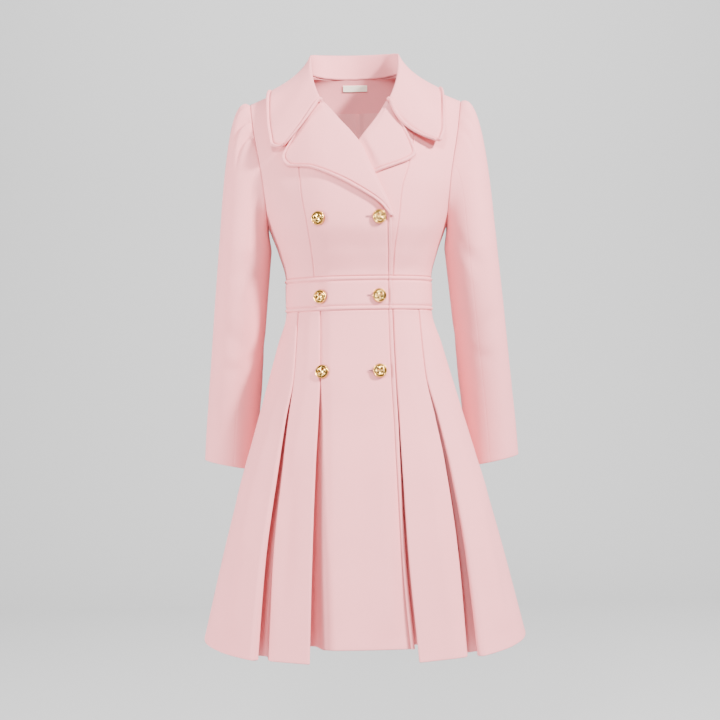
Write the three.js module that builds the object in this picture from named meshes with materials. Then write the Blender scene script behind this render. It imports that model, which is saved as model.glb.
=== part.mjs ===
// Flared coat: double-breasted closing, wide notched collar, waist band and pleated skirt.
// Millimetres, +Z up, the front faces -Y, +X is the wearer's left side.
// The origin lies midway between the two side neck points, where the wearer's shoulders hold it.
import * as THREE from 'three';

// Cloth and the gaps between its pieces
const CLOTH = 2.0;
const BAND_CLOTH = 2.4;
const COLLAR_CLOTH = 2.4;
const LINING_CLOTH = 1.0;
const HALF_SEAM = 0.15;
const LYING_GAP = 0.5;

// Neck and shoulders
const NECK_HALF = 72;
const SHOULDER_HALF = 177;
const NAPE_HALF = 112;
const NECKLINE_LEVEL = -60;
const NECKLINE_ROUND = 0.7;

// Heights of the cross seams
const SHOULDER = 0;
const UNDERARM = -255;
const BAND_TOP = -341;
const BAND_BOTTOM = -396;
const HEM = -935;

// Roundness of the body's sections, 1 is an ellipse
const FRONT_FULLNESS = 0.9;
const BACK_FULLNESS = 1.0;

// The wearer's right front laps over the left one
const LAP_END = -44;
const UNDERLAP_EDGE = -40;
const CLOSING_X = 53.5;

// Waist band, a little proud of the bodice
const BAND_PROUD = 0.8;

// Pleats: layers lie on each other at the fold, and the hem hangs lower there
const PLEAT_RAISE = 1.4;
const RAISE_FADE = 17;
const FOLD_THICK = 5.2;
const STAND_POWER = 2.2;
const SIDE_DIP = 16;
const MIDDLE_DIP = 18;
const BACK_DIP = 12;
const DIP_POWER = 4;

// Body sections, one row for each level from the shoulder seam to the hem.
// z is the height beside the neck, drop the fall to the shoulder tip, nape the rise at centre back,
// half the half width, front and back the depths from the mid plane, lap the lift of the top layer
// and lapFrom where that lift starts.
const BODY = [
  { level: 0, z: 0, drop: 45, nape: 0, half: 200, front: 0, back: 0, mid: 5, lap: 0, lapFrom: -110 },
  { level: -10, z: -2.5, drop: 45, nape: 10, half: 200, front: 16, back: 14, mid: 5, lap: 0, lapFrom: -110 },
  { level: -25, z: -12, drop: 45, nape: 26, half: 200, front: 34, back: 30, mid: 5, lap: 0, lapFrom: -110 },
  { level: -60, z: -52, drop: 41, nape: 56, half: 197, front: 62, back: 55, mid: 5, lap: 2.5, lapFrom: -110 },
  { level: -95, z: -95, drop: 34, nape: 46, half: 191, front: 84, back: 76, mid: 5, lap: 6.4, lapFrom: -110 },
  { level: -145, z: -145, drop: 24, nape: 20, half: 180, front: 108, back: 92, mid: 5, lap: 6.4, lapFrom: -110 },
  { level: -200, z: -200, drop: 11, nape: 4, half: 165, front: 126, back: 97, mid: 5, lap: 6.2, lapFrom: -110 },
  { level: -255, z: -255, drop: 2, nape: 0, half: 148, front: 131, back: 95, mid: 6, lap: 4.6, lapFrom: -108 },
  { level: -300, z: -300, drop: 0, nape: 0, half: 132, front: 118, back: 91, mid: 7, lap: 3.6, lapFrom: -90 },
  { level: -341, z: -341, drop: 0, nape: 0, half: 122, front: 104, back: 87, mid: 6, lap: 3.6, lapFrom: -64 },
  { level: -396, z: -396, drop: 0, nape: 0, half: 122, front: 103, back: 90, mid: 4, lap: 3.6, lapFrom: -64 },
  { level: -450, z: -450, drop: 0, nape: 0, half: 137, front: 104, back: 98, mid: 0, lap: 3.6, lapFrom: -64 },
  { level: -500, z: -500, drop: 0, nape: 0, half: 151, front: 106, back: 106, mid: -4, lap: 3.6, lapFrom: -64 },
  { level: -570, z: -570, drop: 0, nape: 0, half: 171, front: 108, back: 118, mid: -9, lap: 3.6, lapFrom: -64 },
  { level: -650, z: -650, drop: 0, nape: 0, half: 194, front: 114, back: 130, mid: -14, lap: 3.6, lapFrom: -64 },
  { level: -780, z: -780, drop: 0, nape: 0, half: 229, front: 125, back: 150, mid: -18, lap: 3.6, lapFrom: -64 },
  { level: -935, z: -935, drop: 0, nape: 0, half: 267, front: 138, back: 172, mid: -20, lap: 3.6, lapFrom: -64 },
];

// Armhole seam, as degrees from centre front or centre back
const ARMHOLE = [
  { level: 0, degrees: 62.3 },
  { level: -45, degrees: 60.3 },
  { level: -95, degrees: 59.5 },
  { level: -145, degrees: 61 },
  { level: -200, degrees: 67 },
  { level: -225, degrees: 72 },
  { level: -240, degrees: 77 },
  { level: -250, degrees: 83 },
  { level: -255, degrees: 90 },
];

// How far round the armhole, from its top to its bottom, each level lies
const ARMHOLE_TURN = [
  { turn: 0, level: 0 },
  { turn: 0.1, level: -22 },
  { turn: 0.25, level: -58 },
  { turn: 0.42, level: -100 },
  { turn: 0.62, level: -155 },
  { turn: 0.8, level: -210 },
  { turn: 0.92, level: -245 },
  { turn: 1, level: -255 },
];

// Princess seams, x at each level, on the wearer's right and left front and on both back halves
const PRINCESS = [
  { level: 0, right: -118, left: 118, back: 112 },
  { level: -60, right: -108, left: 106, back: 104 },
  { level: -120, right: -98, left: 92, back: 98 },
  { level: -161, right: -92.5, left: 84, back: 93 },
  { level: -200, right: -89.5, left: 73, back: 88 },
  { level: -255, right: -80.5, left: 66, back: 78 },
  { level: -300, right: -74.5, left: 59, back: 70 },
  { level: -341, right: -72, left: 56.5, back: 66 },
];

// Inner boundary of each front: the closing edge, then the line where its lapel rolls back
const FRONT_EDGE = [
  { level: 0, right: -73.5, left: 73.5 },
  { level: -28, right: -70, left: 69 },
  { level: -60, right: -58, left: 54.5 },
  { level: -95, right: -24, left: 27 },
  { level: -124, right: 3, left: 4 },
  { level: -181, right: 27, left: -26 },
  { level: -228, right: 46, left: -39 },
  { level: -255, right: 54, left: -40 },
  { level: -300, right: 55, left: -40 },
  { level: -341, right: 54, left: -40 },
];

// Skirt: x of the closing edge and of each pleat's fold, and how far the folds stand out
const SKIRT = [
  { z: -396, edge: 53, rightInner: 66, rightOuter: 103, leftInner: 58, leftOuter: 101.5, back: 84 },
  { z: -500, edge: 56, rightInner: 68, rightOuter: 111.5, leftInner: 60.5, leftOuter: 110, back: 90 },
  { z: -570, edge: 59, rightInner: 72, rightOuter: 127, leftInner: 64.5, leftOuter: 129, back: 104 },
  { z: -640, edge: 61.5, rightInner: 77, rightOuter: 139.5, leftInner: 68, leftOuter: 145.5, back: 117 },
  { z: -790, edge: 67, rightInner: 85, rightOuter: 163, leftInner: 75.5, leftOuter: 170, back: 137 },
  { z: -935, edge: 78, rightInner: 91, rightOuter: 178, leftInner: 88, leftOuter: 186, back: 150 },
];
// Pleats: under is the width tucked behind a fold, sink how deep the next panel dips there and
// open how far it takes to rise again
const STAND = [
  { z: -396, inner: 0, outer: 0, back: 0, under: 10, sink: 4.4, open: 5 },
  { z: -500, inner: 0.5, outer: 0.5, back: 0.5, under: 12, sink: 4.8, open: 5 },
  { z: -570, inner: 5, outer: 5, back: 4, under: 20, sink: 11, open: 7 },
  { z: -640, inner: 9, outer: 8, back: 7, under: 28, sink: 15, open: 9 },
  { z: -790, inner: 16, outer: 14, back: 12, under: 40, sink: 20, open: 13 },
  { z: -935, inner: 22, outer: 19, back: 16, under: 48, sink: 24, open: 18 },
];

// Levels and heights of the grid lines
const BODICE_LEVELS = [BAND_TOP, -300, -255, -250, -240, -225, -200, -175, -150, -124, -95, -62, -43, -25, -10,
  SHOULDER];
const SKIRT_ROWS = [HEM, -925, -870, -790, -710, -640, -570, -500, -440, BAND_BOTTOM];
const BACK_SHARES = [0, 0.07, 0.14, 0.2, 0.27, 0.34, 0.41, 0.46, 0.475, 0.49, 0.505, 0.54, 0.6, 0.67, 0.74, 0.8,
  0.87, 0.94, 1];

// Sleeve centre line below the cap for the wearer's left arm, with half width and half depth
const SLEEVE = [
  { z: -292, x: 190, y: 9, wide: 44.5, deep: 61 },
  { z: -375, x: 198.5, y: 18, wide: 44.5, deep: 58 },
  { z: -477, x: 209, y: 38, wide: 44.5, deep: 54 },
  { z: -579, x: 219.5, y: 58, wide: 44.5, deep: 50 },
  { z: -653, x: 225.5, y: 70, wide: 44.5, deep: 47 },
];
const SLEEVE_TOP = -292;
const SLEEVE_END = -653;
const CUFF_TILT = 9;
const CUFF_FROM = 200;
const CAP_CLEAR = 0.55;
const CAP_PUFF = 33;
const CAP_LIFT = 17;
const CAP_CENTRE = { x: 160, y: 8, z: -150 };
const PLEAT_WIDE = 0.022;
const CAP_PLEATS = [
  { turn: -0.13, height: 2.6 },
  { turn: -0.05, height: 2.2 },
  { turn: 0.05, height: 2.6 },
  { turn: 0.13, height: 2.4 },
  { turn: 0.21, height: 1.8 },
];

// Collar stations from the wearer's left gorge round the back neck.
// seam is the neck edge, fold the top of the stand, mid the drape of the fall, edge its outer edge.
const COLLAR_SIDE = [
  { at: 0, seam: [0, 58.4, 6], fold: [0, 66, 48], mid: [0, 80, 18], edge: [0, 87, -43] },
  { at: 0.5, seam: [46, 42.5, 5.8], fold: [50, 53, 46.5], mid: [64, 63, 14], edge: [88, 62, -39] },
  { at: 1, seam: [72, 5, 3.5], fold: [74, 9, 38.5], mid: [87, 9, 5], edge: [145, 9, -23] },
  { at: 1.5, seam: [71, -19, -1], fold: [74, -16, 19], mid: [93, -21, -10], edge: [149, -25, -40] },
  { at: 2, seam: [67, -47, -25], fold: [71, -42, -7], mid: [96, -53, -36], edge: [147, -48, -82] },
];
const COLLAR_LEFT_END = [
  { at: 2.6, seam: [59, -64, -44], fold: [63, -62, -34], mid: [88, -73, -66], edge: [146, -68, -104] },
  { at: 3, seam: [52, -70, -55], fold: [55, -73, -51], mid: [70, -88, -94], edge: [138, -80, -120] },
];
const COLLAR_RIGHT_END = [
  { at: 2.6, seam: [60, -64, -44], fold: [64, -62, -33], mid: [92, -72, -68], edge: [143, -69, -110] },
  { at: 2.8, seam: [57, -67, -49], fold: [61, -68, -41], mid: [89, -79, -79], edge: [140, -76, -124] },
  { at: 3, seam: [54, -70, -54], fold: [58, -73, -50], mid: [82, -86, -88], edge: [122, -84, -131] },
];

// Lapels: roll line and outer edge from the gorge down, x and level
const LAPEL_RIGHT = [
  { at: 0, rollX: -58, rollZ: -60, edgeX: -66, edgeZ: -69 },
  { at: 0.12, rollX: -46, rollZ: -71, edgeX: -98, edgeZ: -101 },
  { at: 0.26, rollX: -30, rollZ: -88, edgeX: -119, edgeZ: -135 },
  { at: 0.4, rollX: -12, rollZ: -108, edgeX: -112, edgeZ: -151 },
  { at: 0.55, rollX: 4.5, rollZ: -132, edgeX: -75, edgeZ: -167 },
  { at: 0.72, rollX: 21, rollZ: -170, edgeX: -24, edgeZ: -191 },
  { at: 0.88, rollX: 38, rollZ: -207, edgeX: 14, edgeZ: -213 },
  { at: 1, rollX: 50.5, rollZ: -241, edgeX: 42, edgeZ: -237 },
];
const LAPEL_LEFT = [
  { at: 0, rollX: 54, rollZ: -62, edgeX: 60, edgeZ: -71 },
  { at: 0.2, rollX: 42, rollZ: -78, edgeX: 74, edgeZ: -92 },
  { at: 0.42, rollX: 26, rollZ: -97, edgeX: 92, edgeZ: -129 },
  { at: 0.56, rollX: 16, rollZ: -109, edgeX: 95, edgeZ: -140 },
  { at: 0.7, rollX: 5, rollZ: -124, edgeX: 80, edgeZ: -157 },
  { at: 0.86, rollX: -6, rollZ: -139, edgeX: 40, edgeZ: -174 },
  { at: 1, rollX: -14, rollZ: -151, edgeX: 2, edgeZ: -188 },
];
const LAPEL_HEIGHT = [
  { across: 0, height: 3.6 },
  { across: 0.12, height: 6.2 },
  { across: 0.5, height: 7 },
  { across: 0.85, height: 6 },
  { across: 1, height: 5 },
];
const TUCKED_HEIGHT = 2.9;
const TUCKED_FROM = 5;
const TUCKED_TO = 18;

// Buttons: two columns, each on its own seat height above the body's section
const BUTTON_RADIUS = 11.5;
const BUTTONS = [
  { name: 'button_right_top', x: -61, level: -248, seat: 4.1 },
  { name: 'button_left_top', x: 34, level: -248, seat: 5.2 },
  { name: 'button_right_waist', x: -61, level: -373, seat: 2.1 },
  { name: 'button_left_waist', x: 32, level: -373, seat: 4.9 },
  { name: 'button_right_skirt', x: -60.5, level: -495, seat: 0.9 },
  { name: 'button_left_skirt', x: 31, level: -495, seat: 4.0 },
];

// Neck facing, lining and label inside the back
const FACING_FROM = -43;
const FACING_SIDE = 0.2;
const LINING_PLEAT = 0.475;
const PLEAT_DEPTH = 4;
const PLEAT_SHARE = 0.012;
const LABEL_CLOTH = 0.8;
const LABEL_WIDE = 43;
const LABEL_BOTTOM = -14;
const LABEL_TOP = -3.5;

const { clamp, lerp, smoothstep, degToRad } = THREE.MathUtils;

const cloth = new THREE.MeshStandardMaterial({ color: 0xeccacb, roughness: 0.92, metalness: 0 });
const liningCloth = new THREE.MeshStandardMaterial({ color: 0xdcb2b1, roughness: 0.7, metalness: 0 });
const labelCloth = new THREE.MeshStandardMaterial({ color: 0xf2ece0, roughness: 0.8, metalness: 0 });
const brass = new THREE.MeshStandardMaterial({ color: 0xcfae5a, roughness: 0.3, metalness: 0.9 });

const coat = new THREE.Group();

// Monotone cubic through one column of a table whose key column rises or falls
function smooth(table, key, column, at) {
  const last = table.length - 1;
  const falling = table[last][key] < table[0][key];
  let i = 0;
  while (i < last - 1 && (falling ? at < table[i + 1][key] : at > table[i + 1][key])) {
    i += 1;
  }
  const slope = (j) => (table[j + 1][column] - table[j][column]) / (table[j + 1][key] - table[j][key]);
  const tangent = (j) => {
    if (j === 0) return slope(0);
    if (j === last) return slope(last - 1);
    const before = slope(j - 1);
    const after = slope(j);
    return before * after <= 0 ? 0 : (2 * before * after) / (before + after);
  };
  const step = table[i + 1][key] - table[i][key];
  const t = clamp((at - table[i][key]) / step, 0, 1);
  const t2 = t * t;
  const t3 = t2 * t;
  return (2 * t3 - 3 * t2 + 1) * table[i][column] + (t3 - 2 * t2 + t) * step * tangent(i)
    + (3 * t2 - 2 * t3) * table[i + 1][column] + (t3 - t2) * step * tangent(i + 1);
}

// A point of the body's surface; angle 0 is centre front, a quarter turn the wearer's left side
function body(angle, level) {
  const row = (column) => smooth(BODY, 'level', column, level);
  const x = row('half') * Math.sin(angle);
  const facing = Math.cos(angle);
  const y = facing >= 0
    ? row('mid') - row('front') * facing ** FRONT_FULLNESS
    : row('mid') + row('back') * (-facing) ** BACK_FULLNESS;
  const shoulder = Math.max(0, (Math.abs(x) - NECK_HALF) / (SHOULDER_HALF - NECK_HALF));
  const nape = facing < 0 ? Math.max(0, 1 - (x / NAPE_HALF) ** 2) ** 1.5 : 0;
  const z = row('z') - row('drop') * shoulder + row('nape') * nape;
  return new THREE.Vector3(x, y, z);
}

function frontAngle(x, level) {
  return Math.asin(clamp(x / smooth(BODY, 'level', 'half', level), -1, 1));
}

// Outward direction of the body's surface
function bodyNormal(angle, level) {
  const across = body(angle + 0.01, level).sub(body(angle - 0.01, level));
  const up = body(angle, Math.min(level + 2, SHOULDER)).sub(body(angle, level - 2));
  return across.cross(up).normalize();
}

// A point moved out from the body's surface
function above(angle, level, height) {
  return body(angle, level).addScaledVector(bodyNormal(angle, level), height);
}

// Lift of the wearer's right front where it laps over the left one
function lapLift(x, level) {
  return smooth(BODY, 'level', 'lap', level) * smoothstep(x, smooth(BODY, 'level', 'lapFrom', level), LAP_END);
}

function rightFront(angle, level) {
  const x = body(angle, level).x;
  return above(angle, level, lapLift(x, level));
}

// One closed wall between an outer and an inner grid of points, rows upward, columns to the right
function closedWall(outer, inner) {
  const rows = outer.length;
  const columns = outer[0].length;
  const points = [...outer.flat(), ...inner.flat()];
  const out = (r, c) => r * columns + c;
  const back = (r, c) => rows * columns + r * columns + c;
  const faces = [];
  const quad = (a, b, c, d) => faces.push(a, b, c, a, c, d);
  for (let r = 0; r < rows - 1; r += 1) {
    for (let c = 0; c < columns - 1; c += 1) {
      quad(out(r, c), out(r, c + 1), out(r + 1, c + 1), out(r + 1, c));
      quad(back(r, c), back(r + 1, c), back(r + 1, c + 1), back(r, c + 1));
    }
    quad(out(r, 0), out(r + 1, 0), back(r + 1, 0), back(r, 0));
    const e = columns - 1;
    quad(out(r, e), back(r, e), back(r + 1, e), out(r + 1, e));
  }
  for (let c = 0; c < columns - 1; c += 1) {
    quad(out(0, c), back(0, c), back(0, c + 1), out(0, c + 1));
    const t = rows - 1;
    quad(out(t, c), out(t, c + 1), back(t, c + 1), back(t, c));
  }
  const geometry = new THREE.BufferGeometry();
  geometry.setAttribute('position', new THREE.Float32BufferAttribute(points.flatMap((p) => p.toArray()), 3));
  geometry.setIndex(faces);
  geometry.computeVertexNormals();
  return geometry;
}

// Draws the outermost points of a grid in by half a seam's gap
function insetEdges(grid, gap) {
  const rows = grid.length - 1;
  const columns = grid[0].length - 1;
  const pull = (point, towards) => point.addScaledVector(towards.clone().sub(point).normalize(), gap);
  for (const row of grid) {
    pull(row[0], row[1]);
    pull(row[columns], row[columns - 1]);
  }
  for (let c = 0; c <= columns; c += 1) {
    pull(grid[0][c], grid[1][c]);
    pull(grid[rows][c], grid[rows - 1][c]);
  }
}

// A cloth wall over a smooth surface given by shares across and up, both from 0 to 1
function surfaceWall(surface, across, up, thick, levelTop = false) {
  const step = 0.004;
  const outer = [];
  const inner = [];
  for (const u of up) {
    const outerRow = [];
    const innerRow = [];
    for (const a of across) {
      const side = surface(a + step, u).sub(surface(a - step, u));
      const rise = surface(a, Math.min(u + step, 1)).sub(surface(a, Math.max(u - step, 0)));
      const normal = side.cross(rise).normalize();
      if (levelTop && u === 1) normal.setY(0).normalize();
      const point = surface(a, u);
      outerRow.push(point);
      innerRow.push(point.clone().addScaledVector(normal, -thick));
    }
    outer.push(outerRow);
    inner.push(innerRow);
  }
  insetEdges(outer, HALF_SEAM);
  insetEdges(inner, HALF_SEAM);
  return closedWall(outer, inner);
}

// Even shares from 0 to 1
function shares(count) {
  return Array.from({ length: count }, (_, i) => i / (count - 1));
}

// A folded wall whose rows are level paths; its thickness lies to the inner side of each path
function pathWall(rows, thick) {
  const inner = rows.map((row) => row.map((point, i) => {
    const before = row[Math.max(i - 1, 0)];
    const after = row[Math.min(i + 1, row.length - 1)];
    const along = after.clone().sub(before).setZ(0).normalize();
    return new THREE.Vector3(point.x - along.y * thick, point.y + along.x * thick, point.z);
  }));
  const outer = rows.map((row) => row.map((point) => point.clone()));
  insetEdges(outer, HALF_SEAM);
  insetEdges(inner, 3 * HALF_SEAM);
  return closedWall(outer, inner);
}

function mirroredRows(rows) {
  return rows.map((row) => row.map((p) => new THREE.Vector3(-p.x, p.y, p.z)).reverse());
}

function addPiece(name, geometry, material) {
  const mesh = new THREE.Mesh(geometry, material);
  mesh.name = name;
  coat.add(mesh);
  return mesh;
}

// Shares upward that put a row on each of the given levels
function sharesOfLevels(levels) {
  const low = levels[0];
  const high = levels[levels.length - 1];
  return levels.map((level) => (level - low) / (high - low));
}

// Bodice front beside the arm, from the side seam and armhole to the princess seam
function addFrontSide(side, name) {
  const column = side < 0 ? 'right' : 'left';
  const surface = (a, u) => {
    const level = lerp(BAND_TOP, SHOULDER, clamp(u, 0, 1));
    const arm = level <= UNDERARM ? Math.PI / 2 : degToRad(smooth(ARMHOLE, 'level', 'degrees', level));
    const seam = frontAngle(smooth(PRINCESS, 'level', column, level), level);
    const angle = side < 0 ? lerp(-arm, seam, a) : lerp(seam, arm, a);
    return side < 0 ? rightFront(angle, level) : body(angle, level);
  };
  addPiece(name, surfaceWall(surface, shares(5), sharesOfLevels(BODICE_LEVELS), CLOTH, true), cloth);
}

// Bodice front from the princess seam to the closing edge and the lapel's roll line
function addFrontCentre(side, name) {
  const column = side < 0 ? 'right' : 'left';
  const surface = (a, u) => {
    const level = lerp(BAND_TOP, SHOULDER, clamp(u, 0, 1));
    const seam = frontAngle(smooth(PRINCESS, 'level', column, level), level);
    const edge = frontAngle(smooth(FRONT_EDGE, 'level', column, level), level);
    const angle = side < 0 ? lerp(seam, edge, a) : lerp(edge, seam, a);
    return side < 0 ? rightFront(angle, level) : body(angle, level);
  };
  addPiece(name, surfaceWall(surface, shares(8), sharesOfLevels(BODICE_LEVELS), CLOTH, true), cloth);
}

// Level of the back's upper edge: the neckline near the middle, the shoulder seam beyond it
function backTop(x) {
  const inside = clamp(1 - (x / NECK_HALF) ** 2, 0, 1);
  return NECKLINE_LEVEL * inside ** NECKLINE_ROUND;
}

// Point of the centre back panel, or of what lies inside it at a depth
function backCentre(a, u, depth) {
  const share = clamp(2 * a - 1, -1, 1);
  const topX = smooth(PRINCESS, 'level', 'back', SHOULDER) * share;
  const level = lerp(BAND_TOP, backTop(topX), clamp(u, 0, 1));
  const x = smooth(PRINCESS, 'level', 'back', level) * (2 * a - 1);
  return above(Math.PI + frontAngle(x, level), level, -depth);
}

function addBackCentre() {
  const surface = (a, u) => backCentre(a, u, 0);
  addPiece('back_centre', surfaceWall(surface, BACK_SHARES, sharesOfLevels(BODICE_LEVELS), CLOTH, true), cloth);
}

function addBackSide(side, name) {
  const surface = (a, u) => {
    const level = lerp(BAND_TOP, SHOULDER, clamp(u, 0, 1));
    const arm = level <= UNDERARM ? Math.PI / 2 : degToRad(smooth(ARMHOLE, 'level', 'degrees', level));
    const seam = frontAngle(smooth(PRINCESS, 'level', 'back', level), level);
    const angle = side > 0 ? Math.PI - lerp(arm, seam, a) : Math.PI + lerp(seam, arm, a);
    return body(angle, level);
  };
  addPiece(name, surfaceWall(surface, shares(5), sharesOfLevels(BODICE_LEVELS), CLOTH, true), cloth);
}

// Waist band, standing a little proud of the bodice
function addBand(name, from, to, lapped) {
  const surface = (a, u) => {
    const level = lerp(BAND_BOTTOM, BAND_TOP, u);
    const angle = lerp(from, to, a);
    const lift = lapped ? lapLift(body(angle, level).x, level) : 0;
    return above(angle, level, BAND_PROUD + lift);
  };
  addPiece(name, surfaceWall(surface, shares(13), shares(3), BAND_CLOTH), cloth);
}

// Angle at which a point that stands out from the section lies at the wanted x
function foldAngle(x, z, out) {
  let angle = frontAngle(x, z);
  for (let i = 0; i < 4; i += 1) {
    const sideways = bodyNormal(angle, z).x * out;
    angle = frontAngle(x - sideways, z);
  }
  return angle;
}

// Point of the skirt: the section moved out, and lower by the dip at the hem
function skirtPoint(angle, z, out, dip) {
  const point = body(angle, z);
  const normal = bodyNormal(angle, z).setZ(0).normalize();
  point.addScaledVector(normal, out);
  point.z -= dip * ((BAND_BOTTOM - z) / (BAND_BOTTOM - HEM)) ** DIP_POWER;
  return point;
}

// How deep a panel lies at a distance from its tucked end
function sunk(fromEnd, size) {
  return -size.sink * (1 - smoothstep(fromEnd, size.under, size.under + size.open));
}

// How far a pleated panel stands out at a distance from its fold
function pleatOut(distance, width, stand, size, tucked) {
  const raise = PLEAT_RAISE * (1 - smoothstep(distance, size.under + 3, size.under + 3 + RAISE_FADE));
  const rest = clamp(1 - distance / width, 0, 1);
  return raise + stand * rest ** STAND_POWER + (tucked ? sunk(width - distance, size) : 0);
}

// Distances of a face's grid lines from its start; a tucked start gets lines along its dip
function faceDistances(width, size, tucked) {
  const first = tucked ? size.under + size.open : 0;
  const dip = [0, size.under / 2, size.under, size.under + 0.3 * size.open, size.under + 0.65 * size.open];
  const rest = [0, 0.2, 0.4, 0.6, 0.78, 0.91, 1].map((share) => lerp(first, width, share));
  return tucked ? [...dip, ...rest] : rest;
}

// Level path of a panel whose fold lies at its right end: its face, the fold and the part tucked behind
function pleatRow(z, start, fold, stand, size, tucked, below, dipOf) {
  const width = body(start, z).distanceTo(body(fold, z));
  const row = [];
  const angleOf = (distance) => fold - ((fold - start) * distance) / width;
  for (const fromStart of faceDistances(width, size, tucked)) {
    const distance = width - fromStart;
    const out = pleatOut(distance, width, stand, size, tucked);
    row.push(skirtPoint(angleOf(distance), z, out, dipOf(fromStart / width)));
  }
  const top = pleatOut(0, width, stand, size, tucked);
  const dip = dipOf(1);
  row.push(skirtPoint(angleOf(-FOLD_THICK / 2), z, top - FOLD_THICK / 2, dip));
  row.push(skirtPoint(angleOf(0), z, top - FOLD_THICK, dip));
  const last = size.under - 1;
  for (const share of [0.4, 1]) {
    const angle = angleOf(last * share);
    const end = below(angle) + LYING_GAP;
    row.push(skirtPoint(angle, z, lerp(top - FOLD_THICK, end, share), dip));
  }
  return row;
}

// Sizes of one skirt half at a height
function skirtSizes(z, innerColumn, outerColumn) {
  const size = {};
  for (const column of ['inner', 'outer', 'back', 'under', 'sink', 'open']) {
    size[column] = smooth(STAND, 'z', column, z);
  }
  const { under } = size;
  const innerFold = -foldAngle(smooth(SKIRT, 'z', innerColumn, z), z, size.inner + PLEAT_RAISE);
  const outerFold = -foldAngle(smooth(SKIRT, 'z', outerColumn, z), z, size.outer + PLEAT_RAISE);
  const perMillimetre = 0.01 / body(outerFold, z).distanceTo(body(outerFold + 0.01, z));
  const middleStart = outerFold - under * perMillimetre;
  const middleWidth = body(middleStart, z).distanceTo(body(innerFold, z));
  const middleOut = (angle) => {
    const distance = ((innerFold - angle) / (innerFold - middleStart)) * middleWidth;
    return pleatOut(distance, middleWidth, size.inner, size, true);
  };
  return { ...size, innerFold, outerFold, middleStart, middleOut };
}

// Side and middle panels of one skirt half, each folded towards centre front
function addFrontPleats(side, prefix) {
  const inner = side < 0 ? 'rightInner' : 'leftInner';
  const outer = side < 0 ? 'rightOuter' : 'leftOuter';
  const sideRows = [];
  const middleRows = [];
  for (const z of SKIRT_ROWS) {
    const size = skirtSizes(z, inner, outer);
    sideRows.push(pleatRow(z, -Math.PI / 2, size.outerFold, size.outer, size, false, size.middleOut,
      (share) => SIDE_DIP * share));
    middleRows.push(pleatRow(z, size.middleStart, size.innerFold, size.inner, size, true,
      () => -size.sink, () => MIDDLE_DIP));
  }
  const place = side < 0 ? (rows) => rows : mirroredRows;
  addPiece(`skirt_${prefix}_side`, pathWall(place(sideRows), CLOTH), cloth);
  addPiece(`skirt_${prefix}_middle`, pathWall(place(middleRows), CLOTH), cloth);
}

// Centre panels: each starts tucked under its middle panel and runs to its own free edge
function addFrontCentrePanels() {
  const rightRows = [];
  const leftRows = [];
  for (const z of SKIRT_ROWS) {
    const right = skirtSizes(z, 'rightInner', 'rightOuter');
    const left = skirtSizes(z, 'leftInner', 'leftOuter');
    const half = smooth(BODY, 'level', 'half', z);
    const tuckedX = (size) => half * Math.sin(size.innerFold) - size.under;
    const edge = smooth(SKIRT, 'z', 'edge', z);
    rightRows.push(faceDistances(edge - tuckedX(right), right, true).map((distance) => {
      const x = tuckedX(right) + distance;
      return skirtPoint(frontAngle(x, z), z, sunk(distance, right) + lapLift(x, z), 0);
    }));
    leftRows.push(faceDistances(-UNDERLAP_EDGE - tuckedX(left), left, true).map((distance) => {
      const x = tuckedX(left) + distance;
      return skirtPoint(frontAngle(x, z), z, sunk(distance, left), 0);
    }));
  }
  addPiece('skirt_front_right_centre', pathWall(rightRows, CLOTH), cloth);
  addPiece('skirt_front_left_centre', pathWall(mirroredRows(leftRows), CLOTH), cloth);
}

// Back of the skirt: a plain centre panel between two panels folded towards it
function addSkirtBack() {
  const sideRows = [];
  const centreRows = [];
  for (const z of SKIRT_ROWS) {
    const size = skirtSizes(z, 'leftInner', 'leftOuter');
    const fold = Math.PI - foldAngle(smooth(SKIRT, 'z', 'back', z), z, size.back + PLEAT_RAISE);
    sideRows.push(pleatRow(z, Math.PI / 2, fold, size.back, size, false, () => -size.sink,
      (share) => BACK_DIP * share));
    const endX = smooth(BODY, 'level', 'half', z) * Math.sin(fold) + size.under;
    const half = faceDistances(endX, size, true);
    const both = [...half, ...half.slice(0, -1).map((distance) => 2 * endX - distance).reverse()];
    centreRows.push(both.map((distance) => {
      const x = distance - endX;
      return skirtPoint(Math.PI + frontAngle(x, z), z, sunk(Math.min(distance, 2 * endX - distance), size), 0);
    }));
  }
  addPiece('skirt_back_left', pathWall(sideRows, CLOTH), cloth);
  addPiece('skirt_back_right', pathWall(mirroredRows(sideRows), CLOTH), cloth);
  addPiece('skirt_back_centre', pathWall(centreRows, CLOTH), cloth);
}

// Lapel lying on its front; the lower one is tucked flat where the other front covers it
function addLapel(side, name, table) {
  const front = side < 0 ? rightFront : body;
  const surface = (a, u) => {
    const across = side < 0 ? 1 - a : a;
    const at = 1 - clamp(u, 0, 1);
    const pick = (column) => smooth(table, 'at', column, at);
    const share = clamp(across, -0.1, 1.1);
    const x = lerp(pick('rollX'), pick('edgeX'), share);
    const level = lerp(pick('rollZ'), pick('edgeZ'), share);
    const angle = frontAngle(x, level);
    let height = smooth(LAPEL_HEIGHT, 'across', 'height', clamp(share, 0, 1));
    if (side > 0) {
      const clear = x - smooth(FRONT_EDGE, 'level', 'right', level);
      height = lerp(Math.min(height, TUCKED_HEIGHT), height, smoothstep(clear, TUCKED_FROM, TUCKED_TO));
    }
    return front(angle, level).addScaledVector(bodyNormal(angle, level), height);
  };
  const across = side < 0 ? [0, 0.15, 0.4, 0.65, 0.88, 1] : [0, 0.12, 0.35, 0.6, 0.85, 1];
  addPiece(name, surfaceWall(surface, across, shares(11), COLLAR_CLOTH), cloth);
}

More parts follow.
